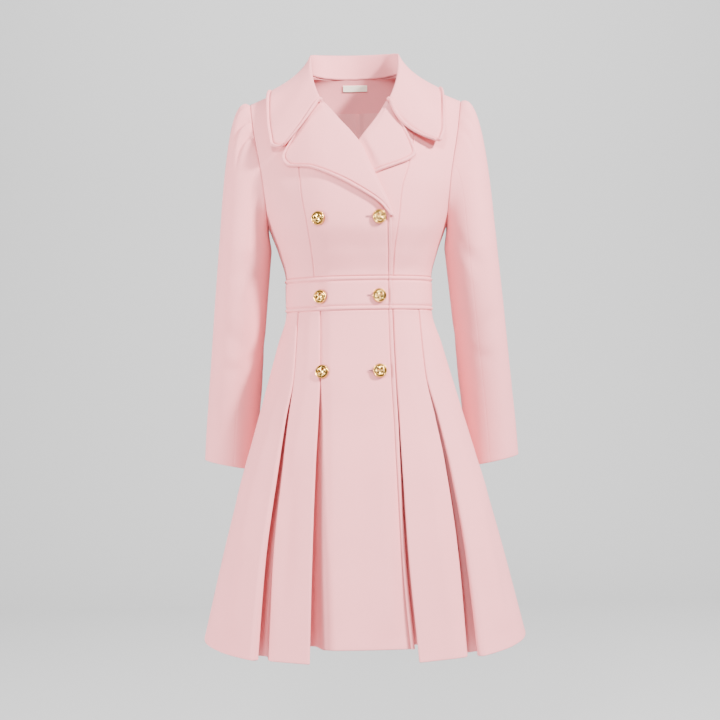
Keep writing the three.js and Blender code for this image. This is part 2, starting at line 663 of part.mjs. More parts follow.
// Collar stations on both sides, from the wearer's right gorge (-3) to the left one (3)
function collarStations() {
  const mirrored = (row) => {
    const flip = (p) => [-p[0], p[1], p[2]];
    return { at: -row.at, seam: flip(row.seam), fold: flip(row.fold), mid: flip(row.mid), edge: flip(row.edge) };
  };
  const right = [...COLLAR_SIDE.slice(1), ...COLLAR_RIGHT_END].map(mirrored).reverse();
  return [...right, ...COLLAR_SIDE, ...COLLAR_LEFT_END];
}

function curveOf(stations, part) {
  return stations.map((row) => ({ at: row.at, x: row[part][0], y: row[part][1], z: row[part][2] }));
}

function bezier(a, b, c, t) {
  const first = a.clone().multiplyScalar((1 - t) ** 2);
  return first.addScaledVector(b, 2 * t * (1 - t)).addScaledVector(c, t * t);
}

// Collar in one piece: fall, fold and stand
function addCollar() {
  const stations = collarStations();
  const parts = {};
  for (const part of ['seam', 'fold', 'mid', 'edge']) {
    parts[part] = curveOf(stations, part);
  }
  const pick = (part, at) => new THREE.Vector3(
    smooth(parts[part], 'at', 'x', at),
    smooth(parts[part], 'at', 'y', at),
    smooth(parts[part], 'at', 'z', at),
  );
  const profile = (at, v) => {
    const fold = pick('fold', at);
    if (v <= 0) return bezier(fold, pick('mid', at), pick('edge', at), -v);
    const seam = pick('seam', at);
    const bulge = fold.clone().lerp(seam, 0.35).add(pick('seam', at).sub(pick('mid', at)).setZ(0).setLength(3));
    return bezier(fold, bulge, seam, v);
  };
  const heights = [-1, -0.78, -0.56, -0.36, -0.2, -0.08, 0, 0.12, 0.5, 1];
  const turns = [-3, -2.85, -2.6, -2.3, -2, -1.7, -1.4, -1.15, -0.9, -0.65, -0.45, -0.2, 0,
    0.2, 0.45, 0.65, 0.9, 1.15, 1.4, 1.7, 2, 2.3, 2.6, 2.85, 3];
  const step = 0.01;
  const outer = [];
  const inner = [];
  heights.forEach((v, row) => {
    const low = heights[Math.max(row - 1, 0)];
    const high = heights[Math.min(row + 1, heights.length - 1)];
    const outerRow = [];
    const innerRow = [];
    for (const at of turns) {
      const along = profile(at - step, v).sub(profile(at + step, v));
      const rise = profile(at, high).sub(profile(at, low));
      const normal = along.cross(rise).normalize();
      const point = profile(at, v);
      outerRow.push(point);
      innerRow.push(point.clone().addScaledVector(normal, -COLLAR_CLOTH));
    }
    outer.push(outerRow.reverse());
    inner.push(innerRow.reverse());
  });
  addPiece('collar', closedWall(outer, inner), cloth);
}

// Sleeve for the wearer's left arm; turn 0 is the top of the cap, a quarter turn the front
function armholePoint(turn) {
  const wrapped = turn - Math.round(turn);
  const way = Math.abs(wrapped) * 2;
  const level = smooth(ARMHOLE_TURN, 'turn', 'level', way);
  const arm = degToRad(smooth(ARMHOLE, 'level', 'degrees', level));
  return body(wrapped >= 0 ? arm : Math.PI - arm, level);
}

function sleeveRing(turn, z) {
  const row = (column) => smooth(SLEEVE, 'z', column, z);
  const angle = turn * Math.PI * 2;
  const nearCuff = smoothstep(SLEEVE_TOP - z, CUFF_FROM, SLEEVE_TOP - SLEEVE_END);
  return new THREE.Vector3(
    row('x') + row('wide') * Math.cos(angle),
    row('y') - row('deep') * Math.sin(angle),
    z + CUFF_TILT * nearCuff * Math.cos(angle),
  );
}

function capPleats(turn, share) {
  const wrapped = turn - Math.round(turn);
  const fade = smoothstep(share, 0, 0.12) * (1 - smoothstep(share, 0.2, 0.55));
  let out = 0;
  for (const pleat of CAP_PLEATS) {
    out += pleat.height * Math.exp(-(((wrapped - pleat.turn) / PLEAT_WIDE) ** 2));
  }
  return out * fade;
}

function sleevePoint(turn, share) {
  if (share >= 1) return sleeveRing(turn, lerp(SLEEVE_TOP, SLEEVE_END, clamp(share - 1, 0, 1)));
  const s = Math.max(share, 0);
  const start = armholePoint(turn);
  start.x += CAP_CLEAR;
  const end = sleeveRing(turn, SLEEVE_TOP);
  const top = 0.5 + 0.5 * Math.cos(turn * Math.PI * 2);
  const first = start.clone();
  first.x += lerp(3, CAP_PUFF, top);
  first.z += lerp(-8, CAP_LIFT, top);
  const second = end.clone();
  second.z += lerp(12, 150, top);
  second.x -= lerp(0, 12, top);
  const a = (1 - s) ** 3;
  const b = 3 * s * (1 - s) ** 2;
  const c = 3 * s * s * (1 - s);
  const point = start.multiplyScalar(a).addScaledVector(first, b).addScaledVector(second, c)
    .addScaledVector(end, s ** 3);
  const outward = point.clone().sub(CAP_CENTRE).normalize();
  return point.addScaledVector(outward, capPleats(turn, s));
}

function addSleeve(side, prefix) {
  const rows = [0, 0.08, 0.2, 0.36, 0.55, 0.78, 1, 1.22, 1.48, 1.72, 1.9, 2];
  const upper = [-0.3, -0.24, -0.19, -0.155, -0.13, -0.105, -0.07, -0.05, -0.025, 0, 0.025, 0.05, 0.075,
    0.105, 0.13, 0.155, 0.18, 0.21, 0.24, 0.28];
  const under = [0.28, 0.33, 0.38, 0.43, 0.48, 0.53, 0.58, 0.64, 0.7];
  const build = (turns) => {
    const outer = [];
    const inner = [];
    const step = 0.004;
    for (const share of [...rows].reverse()) {
      const outerRow = [];
      const innerRow = [];
      for (const turn of turns) {
        const point = sleevePoint(turn, share);
        const along = sleevePoint(turn - step, share).sub(sleevePoint(turn + step, share));
        const low = share >= 2 ? 2 : share + step;
        const high = Math.max(share - step, 0);
        const rise = sleevePoint(turn, high).sub(sleevePoint(turn, low));
        const normal = along.cross(rise).normalize();
        outerRow.push(point);
        innerRow.push(point.clone().addScaledVector(normal, -CLOTH));
      }
      outer.push(outerRow.reverse());
      inner.push(innerRow.reverse());
    }
    insetEdges(outer, HALF_SEAM);
    insetEdges(inner, HALF_SEAM);
    return side > 0 ? closedWall(outer, inner) : closedWall(mirroredRows(outer), mirroredRows(inner));
  };
  addPiece(`sleeve_${prefix}_upper`, build(upper), cloth);
  addPiece(`sleeve_${prefix}_under`, build(under), cloth);
}

// Back neck facing and, below it, the lining with its centre pleat
function insideBack(name, levels, pleatDepth, material) {
  const across = BACK_SHARES.filter((a) => a >= FACING_SIDE && a <= 1 - FACING_SIDE);
  const low = sharesOfLevels(BODICE_LEVELS)[BODICE_LEVELS.indexOf(levels[0])];
  const high = sharesOfLevels(BODICE_LEVELS)[BODICE_LEVELS.indexOf(levels[levels.length - 1])];
  const surface = (a, u) => {
    const pleat = pleatDepth * Math.exp(-(((a - LINING_PLEAT) / PLEAT_SHARE) ** 2)) * clamp(u, 0, 1);
    return backCentre(a, lerp(low, high, u), CLOTH + LYING_GAP + pleat);
  };
  addPiece(name, surfaceWall(surface, across, sharesOfLevels(levels), LINING_CLOTH), material);
}

// Level of the back at which a point beside the middle has the wanted height
function backLevel(x, z) {
  let level = z + NECKLINE_LEVEL;
  for (let i = 0; i < 8; i += 1) {
    level += z - body(Math.PI + frontAngle(x, level), level).z;
  }
  return level;
}

function addLabel() {
  const depth = CLOTH + LYING_GAP + LINING_CLOTH + 2 * LYING_GAP;
  const surface = (a, u) => {
    const x = lerp(-LABEL_WIDE / 2, LABEL_WIDE / 2, a);
    const level = backLevel(x, lerp(LABEL_BOTTOM, LABEL_TOP, u));
    return above(Math.PI + frontAngle(x, level), level, -depth);
  };
  addPiece('neck_label', surfaceWall(surface, shares(5), shares(2), LABEL_CLOTH), labelCloth);
}

// Domed metal button with a rim, on a short shank
function addButton(button) {
  const profile = [
    [0, 0], [3.5, 0], [3.5, 2.2], [BUTTON_RADIUS - 1.5, 2.4], [BUTTON_RADIUS, 3.4], [BUTTON_RADIUS - 0.8, 4.6],
    [8.6, 4.4], [6.5, 6.6], [3.5, 7.9], [0, 8.3],
  ];
  const geometry = new THREE.LatheGeometry(profile.map(([r, h]) => new THREE.Vector2(r, h)), 14);
  const mesh = addPiece(button.name, geometry, brass);
  const angle = frontAngle(button.x, button.level);
  const normal = bodyNormal(angle, button.level);
  mesh.position.copy(above(angle, button.level, button.seat));
  mesh.quaternion.setFromUnitVectors(new THREE.Vector3(0, 1, 0), normal);
}

addFrontSide(-1, 'front_right_side');
addFrontSide(1, 'front_left_side');
addFrontCentre(-1, 'front_right_centre');
addFrontCentre(1, 'front_left_centre');
addBackCentre();
addBackSide(1, 'back_left_side');
addBackSide(-1, 'back_right_side');
addBand('waistband_right', -Math.PI / 2, frontAngle(CLOSING_X, BAND_TOP), true);
addBand('waistband_left', frontAngle(UNDERLAP_EDGE, BAND_TOP), Math.PI / 2, false);
addBand('waistband_back', Math.PI / 2, Math.PI * 1.5, false);
addFrontPleats(-1, 'front_right');
addFrontPleats(1, 'front_left');
addFrontCentrePanels();
addSkirtBack();
addLapel(-1, 'lapel_right', LAPEL_RIGHT);
addLapel(1, 'lapel_left', LAPEL_LEFT);
addCollar();
addSleeve(1, 'left');
addSleeve(-1, 'right');
insideBack('neck_facing', BODICE_LEVELS.filter((level) => level >= FACING_FROM), 0, cloth);
insideBack('back_lining', BODICE_LEVELS.filter((level) => level <= FACING_FROM), PLEAT_DEPTH, liningCloth);
addLabel();
for (const button of BUTTONS) {
  addButton(button);
}

export default coat;
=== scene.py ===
# The look of the flared coat: each panel is thin cloth with its seams, folds and stitching.
import math

import bpy
import numpy as np
from mathutils import Matrix, Vector


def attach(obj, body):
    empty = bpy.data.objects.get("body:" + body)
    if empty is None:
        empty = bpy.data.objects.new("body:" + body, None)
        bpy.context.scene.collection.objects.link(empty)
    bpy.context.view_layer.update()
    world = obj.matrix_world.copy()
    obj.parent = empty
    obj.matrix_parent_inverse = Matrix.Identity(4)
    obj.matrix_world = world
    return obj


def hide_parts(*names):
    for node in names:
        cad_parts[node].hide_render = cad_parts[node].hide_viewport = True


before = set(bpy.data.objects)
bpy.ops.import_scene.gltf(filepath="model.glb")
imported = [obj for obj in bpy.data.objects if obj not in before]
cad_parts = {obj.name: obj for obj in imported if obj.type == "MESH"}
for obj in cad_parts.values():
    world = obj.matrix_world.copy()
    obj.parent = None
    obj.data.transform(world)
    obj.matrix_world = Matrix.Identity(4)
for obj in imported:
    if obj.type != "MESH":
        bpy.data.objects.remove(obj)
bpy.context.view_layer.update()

# Tables and geometry are in millimetres, in the frame of the solids; meshes are in metres
MM = 0.001

# Cloth and the gaps between its layers
CLOTH = 2.0
BAND_CLOTH = 2.4
COLLAR_CLOTH = 2.4
LINING_CLOTH = 1.0
LABEL_CLOTH = 0.8
LYING_GAP = 0.5

# Heights of the cross seams, and the neck
SHOULDER = 0.0
UNDERARM = -255.0
BAND_TOP = -341.0
BAND_BOTTOM = -396.0
HEM = -935.0
NECK_HALF = 72.0
SHOULDER_HALF = 177.0
NAPE_HALF = 112.0
NECKLINE_LEVEL = -60.0
NECKLINE_ROUND = 0.7
NAPE_POWER = 1.5

# Roundness of the body's sections, 1 is an ellipse
FRONT_FULLNESS = 0.9

# The wearer's right front laps over the left one
LAP_END = -44.0
UNDERLAP_EDGE = -40.0
CLOSING_X = 53.5

# Waist band, a little proud of the bodice
BAND_PROUD = 0.8

# Pleats: layers lie on each other at the fold, and the hem hangs lower there
PLEAT_RAISE = 1.4
RAISE_FADE = 17.0
FOLD_THICK = 5.2
STAND_POWER = 2.2
SIDE_DIP = 16.0
MIDDLE_DIP = 18.0
BACK_DIP = 12.0
DIP_POWER = 4


def table(columns, *rows):
    """Rows under named columns, sorted by the first column, which is the key."""
    values = np.array(rows, float)
    values = values[np.argsort(values[:, 0])]
    return {name: values[:, i] for i, name in enumerate(columns.split())}


# Body sections from the shoulder seam to the hem
BODY = table(
    "level z drop nape half front back mid lap lap_from",
    (0, 0, 45, 0, 200, 0, 0, 5, 0, -110),
    (-10, -2.5, 45, 10, 200, 16, 14, 5, 0, -110),
    (-25, -12, 45, 26, 200, 34, 30, 5, 0, -110),
    (-60, -52, 41, 56, 197, 62, 55, 5, 2.5, -110),
    (-95, -95, 34, 46, 191, 84, 76, 5, 6.4, -110),
    (-145, -145, 24, 20, 180, 108, 92, 5, 6.4, -110),
    (-200, -200, 11, 4, 165, 126, 97, 5, 6.2, -110),
    (-255, -255, 2, 0, 148, 131, 95, 6, 4.6, -108),
    (-300, -300, 0, 0, 132, 118, 91, 7, 3.6, -90),
    (-341, -341, 0, 0, 122, 104, 87, 6, 3.6, -64),
    (-396, -396, 0, 0, 122, 103, 90, 4, 3.6, -64),
    (-450, -450, 0, 0, 137, 104, 98, 0, 3.6, -64),
    (-500, -500, 0, 0, 151, 106, 106, -4, 3.6, -64),
    (-570, -570, 0, 0, 171, 108, 118, -9, 3.6, -64),
    (-650, -650, 0, 0, 194, 114, 130, -14, 3.6, -64),
    (-780, -780, 0, 0, 229, 125, 150, -18, 3.6, -64),
    (-935, -935, 0, 0, 267, 138, 172, -20, 3.6, -64),
)
ARMHOLE = table(
    "level degrees",
    (0, 62.3), (-45, 60.3), (-95, 59.5), (-145, 61), (-200, 67),
    (-225, 72), (-240, 77), (-250, 83), (-255, 90),
)
ARMHOLE_TURN = table(
    "turn level",
    (0, 0), (0.1, -22), (0.25, -58), (0.42, -100), (0.62, -155), (0.8, -210), (0.92, -245), (1, -255),
)
PRINCESS = table(
    "level right left back",
    (0, -118, 118, 112),
    (-60, -108, 106, 104),
    (-120, -98, 92, 98),
    (-161, -92.5, 84, 93),
    (-200, -89.5, 73, 88),
    (-255, -80.5, 66, 78),
    (-300, -74.5, 59, 70),
    (-341, -72, 56.5, 66),
)
FRONT_EDGE = table(
    "level right left",
    (0, -73.5, 73.5),
    (-28, -70, 69),
    (-60, -58, 54.5),
    (-95, -24, 27),
    (-124, 3, 4),
    (-181, 27, -26),
    (-228, 46, -39),
    (-255, 54, -40),
    (-300, 55, -40),
    (-341, 54, -40),
)
SKIRT = table(
    "z edge right_inner right_outer left_inner left_outer back",
    (-396, 53, 66, 103, 58, 101.5, 84),
    (-500, 56, 68, 111.5, 60.5, 110, 90),
    (-570, 59, 72, 127, 64.5, 129, 104),
    (-640, 61.5, 77, 139.5, 68, 145.5, 117),
    (-790, 67, 85, 163, 75.5, 170, 137),
    (-935, 78, 91, 178, 88, 186, 150),
)
# Pleats: under is the width tucked behind a fold, sink how deep the next panel dips there, open how far
# it takes to rise again and soft the thickness of the outer folds
STAND = table(
    "z inner outer back under sink open soft",
    (-396, 0, 0, 0, 10, 4.4, 5, 5.2),
    (-500, 0.5, 0.5, 0.5, 12, 4.8, 5, 5.2),
    (-570, 5, 5, 4, 20, 14, 8, 6),
    (-640, 9, 8, 7, 28, 20, 11, 8),
    (-790, 16, 14, 12, 40, 27, 17, 12),
    (-935, 22, 19, 16, 48, 32, 24, 16),
)

# Sleeve centre line below the cap, half width and half depth
SLEEVE = table(
    "z x y wide deep",
    (-292, 190, 9, 44.5, 61),
    (-375, 198.5, 18, 44.5, 58),
    (-477, 209, 38, 44.5, 54),
    (-579, 219.5, 58, 44.5, 50),
    (-653, 225.5, 70, 44.5, 47),
)
SLEEVE_TOP = -292.0
SLEEVE_END = -653.0
CUFF_TILT = 9.0
CUFF_FROM = 200.0
CAP_CLEAR = 0.2
CAP_PUFF = 33.0
CAP_LIFT = 17.0
CAP_CENTRE = (160, 8, -150)
CAP_PLEATS = table(
    "turn height wide",
    (-0.13, 2.2, 0.018),
    (-0.05, 2.0, 0.018),
    (0.02, 2.0, 0.016),
    (0.062, 3.2, 0.016),
    (0.098, -5.4, 0.010),
    (0.124, 3.8, 0.014),
    (0.152, -4.6, 0.009),
    (0.178, 1.6, 0.016),
)
PLEAT_STRENGTH = {"left": 0.22, "right": 1.0}
FOLD_SHIFT = {"left": 0.0, "right": 14.0}
UPPER_TURNS = (-0.3, 0.28)
UNDER_TURNS = (0.28, 0.7)

# Collar stations from the centre back to each front end, and the lapels from the gorge down
COLLAR_COLUMNS = "at seam_x seam_y seam_z fold_x fold_y fold_z mid_x mid_y mid_z edge_x edge_y edge_z"
COLLAR_SIDE = [
    (0, 0, 55.6, 3.4, 0, 66, 49.5, 0, 80, 18, 0, 87, -43),
    (0.5, 45, 40.0, 3.2, 50, 53, 48, 64, 63, 14, 88, 62, -39),
    (1, 72, 5, 3.5, 74, 9, 39.5, 87, 9, 5, 145, 9, -23),
    (1.5, 71, -19, -1, 74, -16, 19, 93, -21, -10, 149, -25, -40),
    (2, 67, -47, -25, 71, -42, -7, 96, -53, -36, 147, -48, -82),
]
COLLAR_LEFT_END = [
    (2.6, 59, -64, -44, 63, -62, -34, 88, -73, -66, 146, -68, -104),
    (3, 52, -70, -55, 55, -73, -51, 64, -90, -106, 139, -83, -124),
]
COLLAR_RIGHT_END = [
    (2.6, 60, -64, -44, 64, -62, -33, 92, -72, -68, 143, -69, -110),
    (2.8, 57, -67, -49, 61, -68, -41, 89, -79, -79, 140, -76, -124),
    (3, 54, -70, -54, 58, -73, -50, 82, -86, -88, 122, -84, -131),
]
LAPEL_RIGHT = table(
    "at roll_x roll_z edge_x edge_z",
    (0, -58, -60, -66, -69),
    (0.12, -46, -71, -98, -101),
    (0.26, -30, -88, -119, -135),
    (0.4, -12, -108, -112, -151),
    (0.55, 4.5, -132, -75, -167),
    (0.72, 21, -170, -24, -191),
    (0.88, 38, -207, 14, -213),
    (0.95, 47.5, -228, 34, -227),
    (1, 53.5, -247, 50, -246),
)
LAPEL_LEFT = table(
    "at roll_x roll_z edge_x edge_z",
    (0, 54, -62, 60, -71),
    (0.2, 42, -78, 74, -92),
    (0.42, 26, -97, 92, -129),
    (0.56, 16, -109, 95, -140),
    (0.7, 5, -124, 80, -157),
    (0.86, -6, -139, 40, -174),
    (1, -14, -151, 2, -188),
)
LAPEL_HEIGHT = table("across height", (0, 3.6), (0.12, 6.2), (0.5, 7), (0.85, 6), (1, 5))
TUCKED_HEIGHT = 2.9
TUCKED_FROM = 5.0
TUCKED_TO = 18.0

# Buttons
BUTTON_RADIUS = 11.5
# Attribute that carries the painted light of the buttons: painted shade in the wells and the hollow ring, a
# painted highlight on the bars
PAINTED_LIGHT_ATTRIBUTE = "painted_light"
BUTTON_TWIST = (0.5, 1.2, 0.8, 0.3, 0.6, 0.05)
BUTTON_SIDES = 120
BUTTON_BASE = 3.6
# Relief of a button: places, widths and reaches are shares of its radius, heights and depths millimetres
RIM = {"at": 0.9, "wide": 0.085, "height": 1.7}
DOME = {"reach": 0.86, "height": 2.9}
# Painted light in a button's colour: the bars are painted lighter as a highlight, the wells and the hollow
# ring darker as shade
BARS = {"wide": 0.11, "height": 0.9, "ends": (0.56, 0.7), "painted_highlight": 0.6}
WELLS = {"at": 0.3, "wide": 0.15, "depth": 2.2, "painted_shade": 1.5}
MOAT = {"at": 0.74, "wide": 0.06, "depth": 1.3, "painted_shade": 0.9}
EDGE = {"from": 0.95, "depth": 3.0}
# Rings of a button: the tip, then from, to and count of the middle and the border, then the underside with
# its shank as share of the radius and height
BUTTON_TIP = 0.02
BUTTON_MIDDLE = (0.05, 0.66, 28)
BUTTON_BORDER = (0.68, 1.0, 24)
BUTTON_UNDER = [(1.0, 2.6), (0.96, 2.1), (0.32, 2.0), (0.30, -0.8), (0.02, -0.8)]
# Columns: node, x, level, seat
BUTTONS = [
    ("button_right_top", -61, -248, 4.1),
    ("button_left_top", 34, -248, 5.2),
    ("button_right_waist", -61, -373, 2.1),
    ("button_left_waist", 32, -373, 4.9),
    ("button_right_skirt", -60.5, -495, 0.9),
    ("button_left_skirt", 31, -495, 4.0),
]

# Neck facing, back lining and label
FACING_BOTTOM = -50.0
FACING_SIDE = 0.16
LINING_PLEAT = 0.475
LINING_PLEAT_DEPTH = 4.0
LINING_PLEAT_WIDE = 0.03
LINING_PLEAT_SHARP = 0.006
LABEL_WIDE = 43.0
LABEL_BOTTOM = -14.0
LABEL_TOP = -3.5

# Grid spacing of the cloth, and the fixed distances of grid lines near an edge
SPACING = 4.5
AT_SEAM = (0, 0.5, 1.2, 2.2, 3.6)
AT_FREE = (0, 0.3, 0.9, 2.0, 4.0, 5.6, 6.3, 7.0, 7.7, 8.8)
AT_PLAIN = (0, 0.3, 0.9, 2.0)
TOPSTITCH = 7.0
PLEAT_SPACING = 3.2
PLEAT_SEWN_TO = -506.0
AT_FOLD = (0, 1.0, 2.5)
AT_ROLL = (0, 1.2)
NECK_SPACING = 3.0
LABEL_SPACING = 1.5
EDGE_SHARE = 0.42
SEWN_ROOM = 1.6
COARSE_ACROSS = 9
COARSE_UP = 25

# Small steps for finding directions, and rounds for settling a place
ANGLE_STEP = 0.01
LEVEL_STEP = 2
SHARE_STEP = 0.004
FOLD_ROUNDS = 4
LEVEL_ROUNDS = 8

# Soft folds: steps along each, how it fades at its ends and how squarely the cloth has to face it
FOLD_STEPS = 13
FOLD_FADE = 0.7
FOLD_FACING = 0.35

# Swell of a free edge: where it starts to fall, as a share of its reach, and how soon it rises
SWELL_REACH = 4.0
SWELL_RISE = 2.4
SWELL_FULL = 0.55

# Folds of the pleats
RAISE_MARGIN = 3
FOLD_TURNS = 8
TUCK_STEPS = 9

# Lapels: the roll round the front's edge
LAPEL_LENGTH = 240
LAPEL_SPACING = 4.0
ROLL_RADIUS = 4.2
ROLL_INSIDE = 14.0
ROLL_TURNS = 9
ROLL_STEPS = 5
ROLL_SLOPE = 0.04

# Collar: its stations run from -3 to 3, and the stand bulges out a little
COLLAR_END = 3.0
COLLAR_LENGTH = 620
COLLAR_DEPTH = 125
COLLAR_ALONG = 4.0
COLLAR_ACROSS = 3.5
COLLAR_STEP = 0.5
FALL_STEPS = 60
STAND_STEPS = 25
BULGE_AT = 0.35
BULGE_OUT = 3
COLLAR_SMOOTH = 3.5
RIGHT_CORNER = 11.0
LEFT_CORNER = 6.0

# Sleeves: the cap's shape at the top and under the arm
SLEEVE_LENGTH = 620
SLEEVE_SPACING = 2.0
UPPER_WIDE = 200
UNDER_WIDE = 140
CAP_FADE_IN = 0.1
CAP_FADE_OUT = (0.2, 0.6)
CAP_RISE = 150
CAP_INWARD = 12
UNDER_PUFF = 3
UNDER_LIFT = -8
UNDER_RISE = 12
# Columns of the folds: x0, z0, x1, z1, bend, width, depth; x is the turn times SLEEVE_ROUND
SLEEVE_ROUND = 330.0
SLEEVE_FOLDS = [
    (118, -262, 62, -330, 8, 12, -1.6),
    (128, -300, 84, -362, -6, 11, 1.2),
    (30, -404, 104, -446, 7, 13, -1.5),
    (52, -440, 122, -474, -6, 10, 1.2),
    (64, -486, 128, -462, 5, 12, -1.2),
    (8, -520, 52, -632, 7, 17, -1.3),
    (-30, -430, -92, -470, 6, 14, -1.4),
    (-20, -560, -70, -636, -5, 15, 1.2),
    (150, -430, 214, -470, 6, 15, -1.5),
    (166, -480, 206, -560, -6, 14, 1.1),
    (36, -170, 10, -268, 8, 18, -1.0),
]

# Sewing
STITCH_PITCH = 3.3
STITCH_LONG = 2.5
STITCH_RADIUS = 0.42
STITCH_RISE = 0.12
BUTTONHOLES = [("top", -248), ("waist", -373), ("skirt", -495)]
BUTTONHOLE_ENDS = (13.0, 33.0)
BUTTONHOLE_HALF = 1.5
BUTTONHOLE_THREAD = 0.75
BUTTONHOLE_STEPS = 56
THREAD_SIDES = 10
THREAD_RISE = 0.1
THREAD_FLAT = 0.8
# Sheet of painted shadow inside each buttonhole
SLIT_LONG = 0.97
SLIT_WIDE = 0.75
SLIT_RIM = 0.22
SLIT_RISE = 0.1
STITCH_SIDES = 6
STITCH_SHAPE = table(
    "at girth",
    (-1.0, 0.25), (-0.86, 0.75), (-0.45, 1.0), (0.45, 1.0), (0.86, 0.75), (1.0, 0.25),
)

# Colours, camera and studio
WOOL_COLOUR = (0.80, 0.285, 0.302)
LINING_COLOUR = (0.80, 0.33, 0.34)
LABEL_COLOUR = (0.90, 0.84, 0.70)
BRASS_COLOUR = (0.84, 0.52, 0.15)
THREAD_COLOUR = (0.60, 0.215, 0.23)
# Painted shadow: the dark colour of the sheet inside each buttonhole
SLIT_SHADOW_COLOUR = (0.20, 0.07, 0.07)
CAMERA_SENSOR = 36.0
CAMERA_LENS = 77.38
CAMERA_PLACE = (0.0, -2.6, -0.477)
CAMERA_ROLL = math.radians(-1.05)
FLOOR_LEVEL = -1.36
FLOOR_REACH = 9.0
SWEEP_START = 3.0
SWEEP_RADIUS = 1.8
WALL_TOP = 8.0
STUDIO_GREY = (0.45, 0.45, 0.45, 1.0)
WORLD_STRENGTH = 0.24
SWEEP_STEPS = 16
WORLD_COLOUR = (1.0, 0.995, 0.99, 1.0)
# Columns: name, place, target, size, power in watts
LIGHTS = [
    ("key_light", (2.4, -1.9, 1.6), (0.0, 0.0, -0.3), (0.35, 0.35), 500.0),
    ("fill_light", (-2.9, -1.2, -0.3), (0.0, 0.0, -0.8), (0.6, 0.6), 190.0),
    ("front_light", (-0.4, -2.5, 1.0), (0.0, 0.0, -0.4), (0.4, 0.4), 90.0),
    ("wall_light", (0.0, 1.4, 2.4), (0.0, 5.0, -0.4), (4.0, 1.5), 320.0),
]
NECK_LIGHT = {"place": (0.1, -1.6, 0.8), "target": (0.0, 0.06, -0.03), "power": 30.0, "cone": 13.0,
              "blend": 0.9, "radius": 0.15}


def smooth(source, column, at):
    """Monotone cubic through one column of a table, held level beyond its ends."""
    key = next(iter(source.values()))
    values = source[column]
    slope = np.diff(values) / np.diff(key)
    product = slope[:-1] * slope[1:]
    together = np.where(product > 0, slope[:-1] + slope[1:], 1)
    inner = np.where(product > 0, 2 * product / together, 0)
    tangent = np.concatenate([slope[:1], inner, slope[-1:]])
    at = np.clip(np.asarray(at, float), key[0], key[-1])
    i = np.clip(np.searchsorted(key, at, side="right") - 1, 0, len(key) - 2)
    step = key[i + 1] - key[i]
    t = (at - key[i]) / step
    start = (2 * t**3 - 3 * t**2 + 1) * values[i] + (t**3 - 2 * t**2 + t) * step * tangent[i]
    return start + (3 * t**2 - 2 * t**3) * values[i + 1] + (t**3 - t**2) * step * tangent[i + 1]


def mix(a, b, t):
    return a + (b - a) * t


def ramp(value, low, high):
    """Smooth step from 0 at low to 1 at high."""
    t = np.clip((value - low) / (high - low), 0, 1)
    return t * t * (3 - 2 * t)


def hump(value, width):
    return np.exp(-((value / width) ** 2))


def unit(vectors):
    return vectors / np.maximum(np.linalg.norm(vectors, axis=-1, keepdims=True), 1e-9)


def stack(x, y, z):
    return np.stack(np.broadcast_arrays(x, y, z), axis=-1).astype(float)


# The body that every panel follows
def body(angle, level):
    """Points of the body; angle 0 is centre front, a quarter turn the wearer's left side."""
    facing = np.cos(angle)
    x = smooth(BODY, "half", level) * np.sin(angle)
    forward = smooth(BODY, "front", level) * np.maximum(facing, 0) ** FRONT_FULLNESS
    rearward = smooth(BODY, "back", level) * np.maximum(-facing, 0)
    y = smooth(BODY, "mid", level) - forward + rearward
    shoulder = np.maximum(0, (np.abs(x) - NECK_HALF) / (SHOULDER_HALF - NECK_HALF))
    nape = np.where(facing < 0, np.maximum(0, 1 - (x / NAPE_HALF) ** 2) ** NAPE_POWER, 0)
    z = smooth(BODY, "z", level) - smooth(BODY, "drop", level) * shoulder
    z = z + smooth(BODY, "nape", level) * nape
    return stack(x, y, z)


def front_angle(x, level):
    return np.arcsin(np.clip(x / smooth(BODY, "half", level), -1, 1))


def body_normal(angle, level):
    across = body(angle + ANGLE_STEP, level) - body(angle - ANGLE_STEP, level)
    up = body(angle, np.minimum(level + LEVEL_STEP, SHOULDER)) - body(angle, level - LEVEL_STEP)
    return unit(np.cross(across, up))


def above(angle, level, height):
    """Points moved out from the body."""
    return body(angle, level) + body_normal(angle, level) * np.asarray(height)[..., None]


def lap_lift(x, level):
    return smooth(BODY, "lap", level) * ramp(x, smooth(BODY, "lap_from", level), LAP_END)


def right_front(angle, level):
    return above(angle, level, lap_lift(body(angle, level)[..., 0], level))


# Soft folds: each is a trough (negative) or a ridge along a bent line, in x and z of the front or back.
# Columns: x0, z0, x1, z1, bend, width, depth
FRONT_FOLDS = [
    (-152, -128, -138, -196, 5, 13, -1.6),
    (-128, -215, -96, -332, -6, 15, -1.3),
    (-112, -252, -74, -322, 5, 11, 1.0),
    (-131, -300, -92, -336, -4, 8, -1.2),
    (-40, -262, 20, -332, 7, 17, -0.9),
    (122, -190, 103, -318, 6, 14, -1.3),
    (140, -235, 98, -300, -7, 10, 0.9),
    (96, -316, 60, -338, 3, 8, -0.8),
    (-34, -470, -48, -800, 9, 24, 3.4),
    (0, -540, -12, -925, -7, 25, -3.8),
    (30, -560, 42, -915, 6, 18, 3.6),
    (52, -600, 62, -925, 5, 12, -3.2),
    (12, -430, 24, -600, -5, 18, -1.6),
    (-128, -470, -176, -780, 8, 18, -3.2),
    (-176, -600, -222, -920, -7, 17, 4.2),
    (-206, -700, -236, -915, 5, 14, -3.4),
    (-116, -620, -138, -900, 5, 14, -3.0),
    (132, -480, 184, -770, -9, 18, -3.3),
    (182, -620, 226, -920, 6, 17, 4.2),
    (206, -690, 240, -900, -5, 14, -3.2),
    (112, -600, 140, -900, -6, 15, 3.2),
]
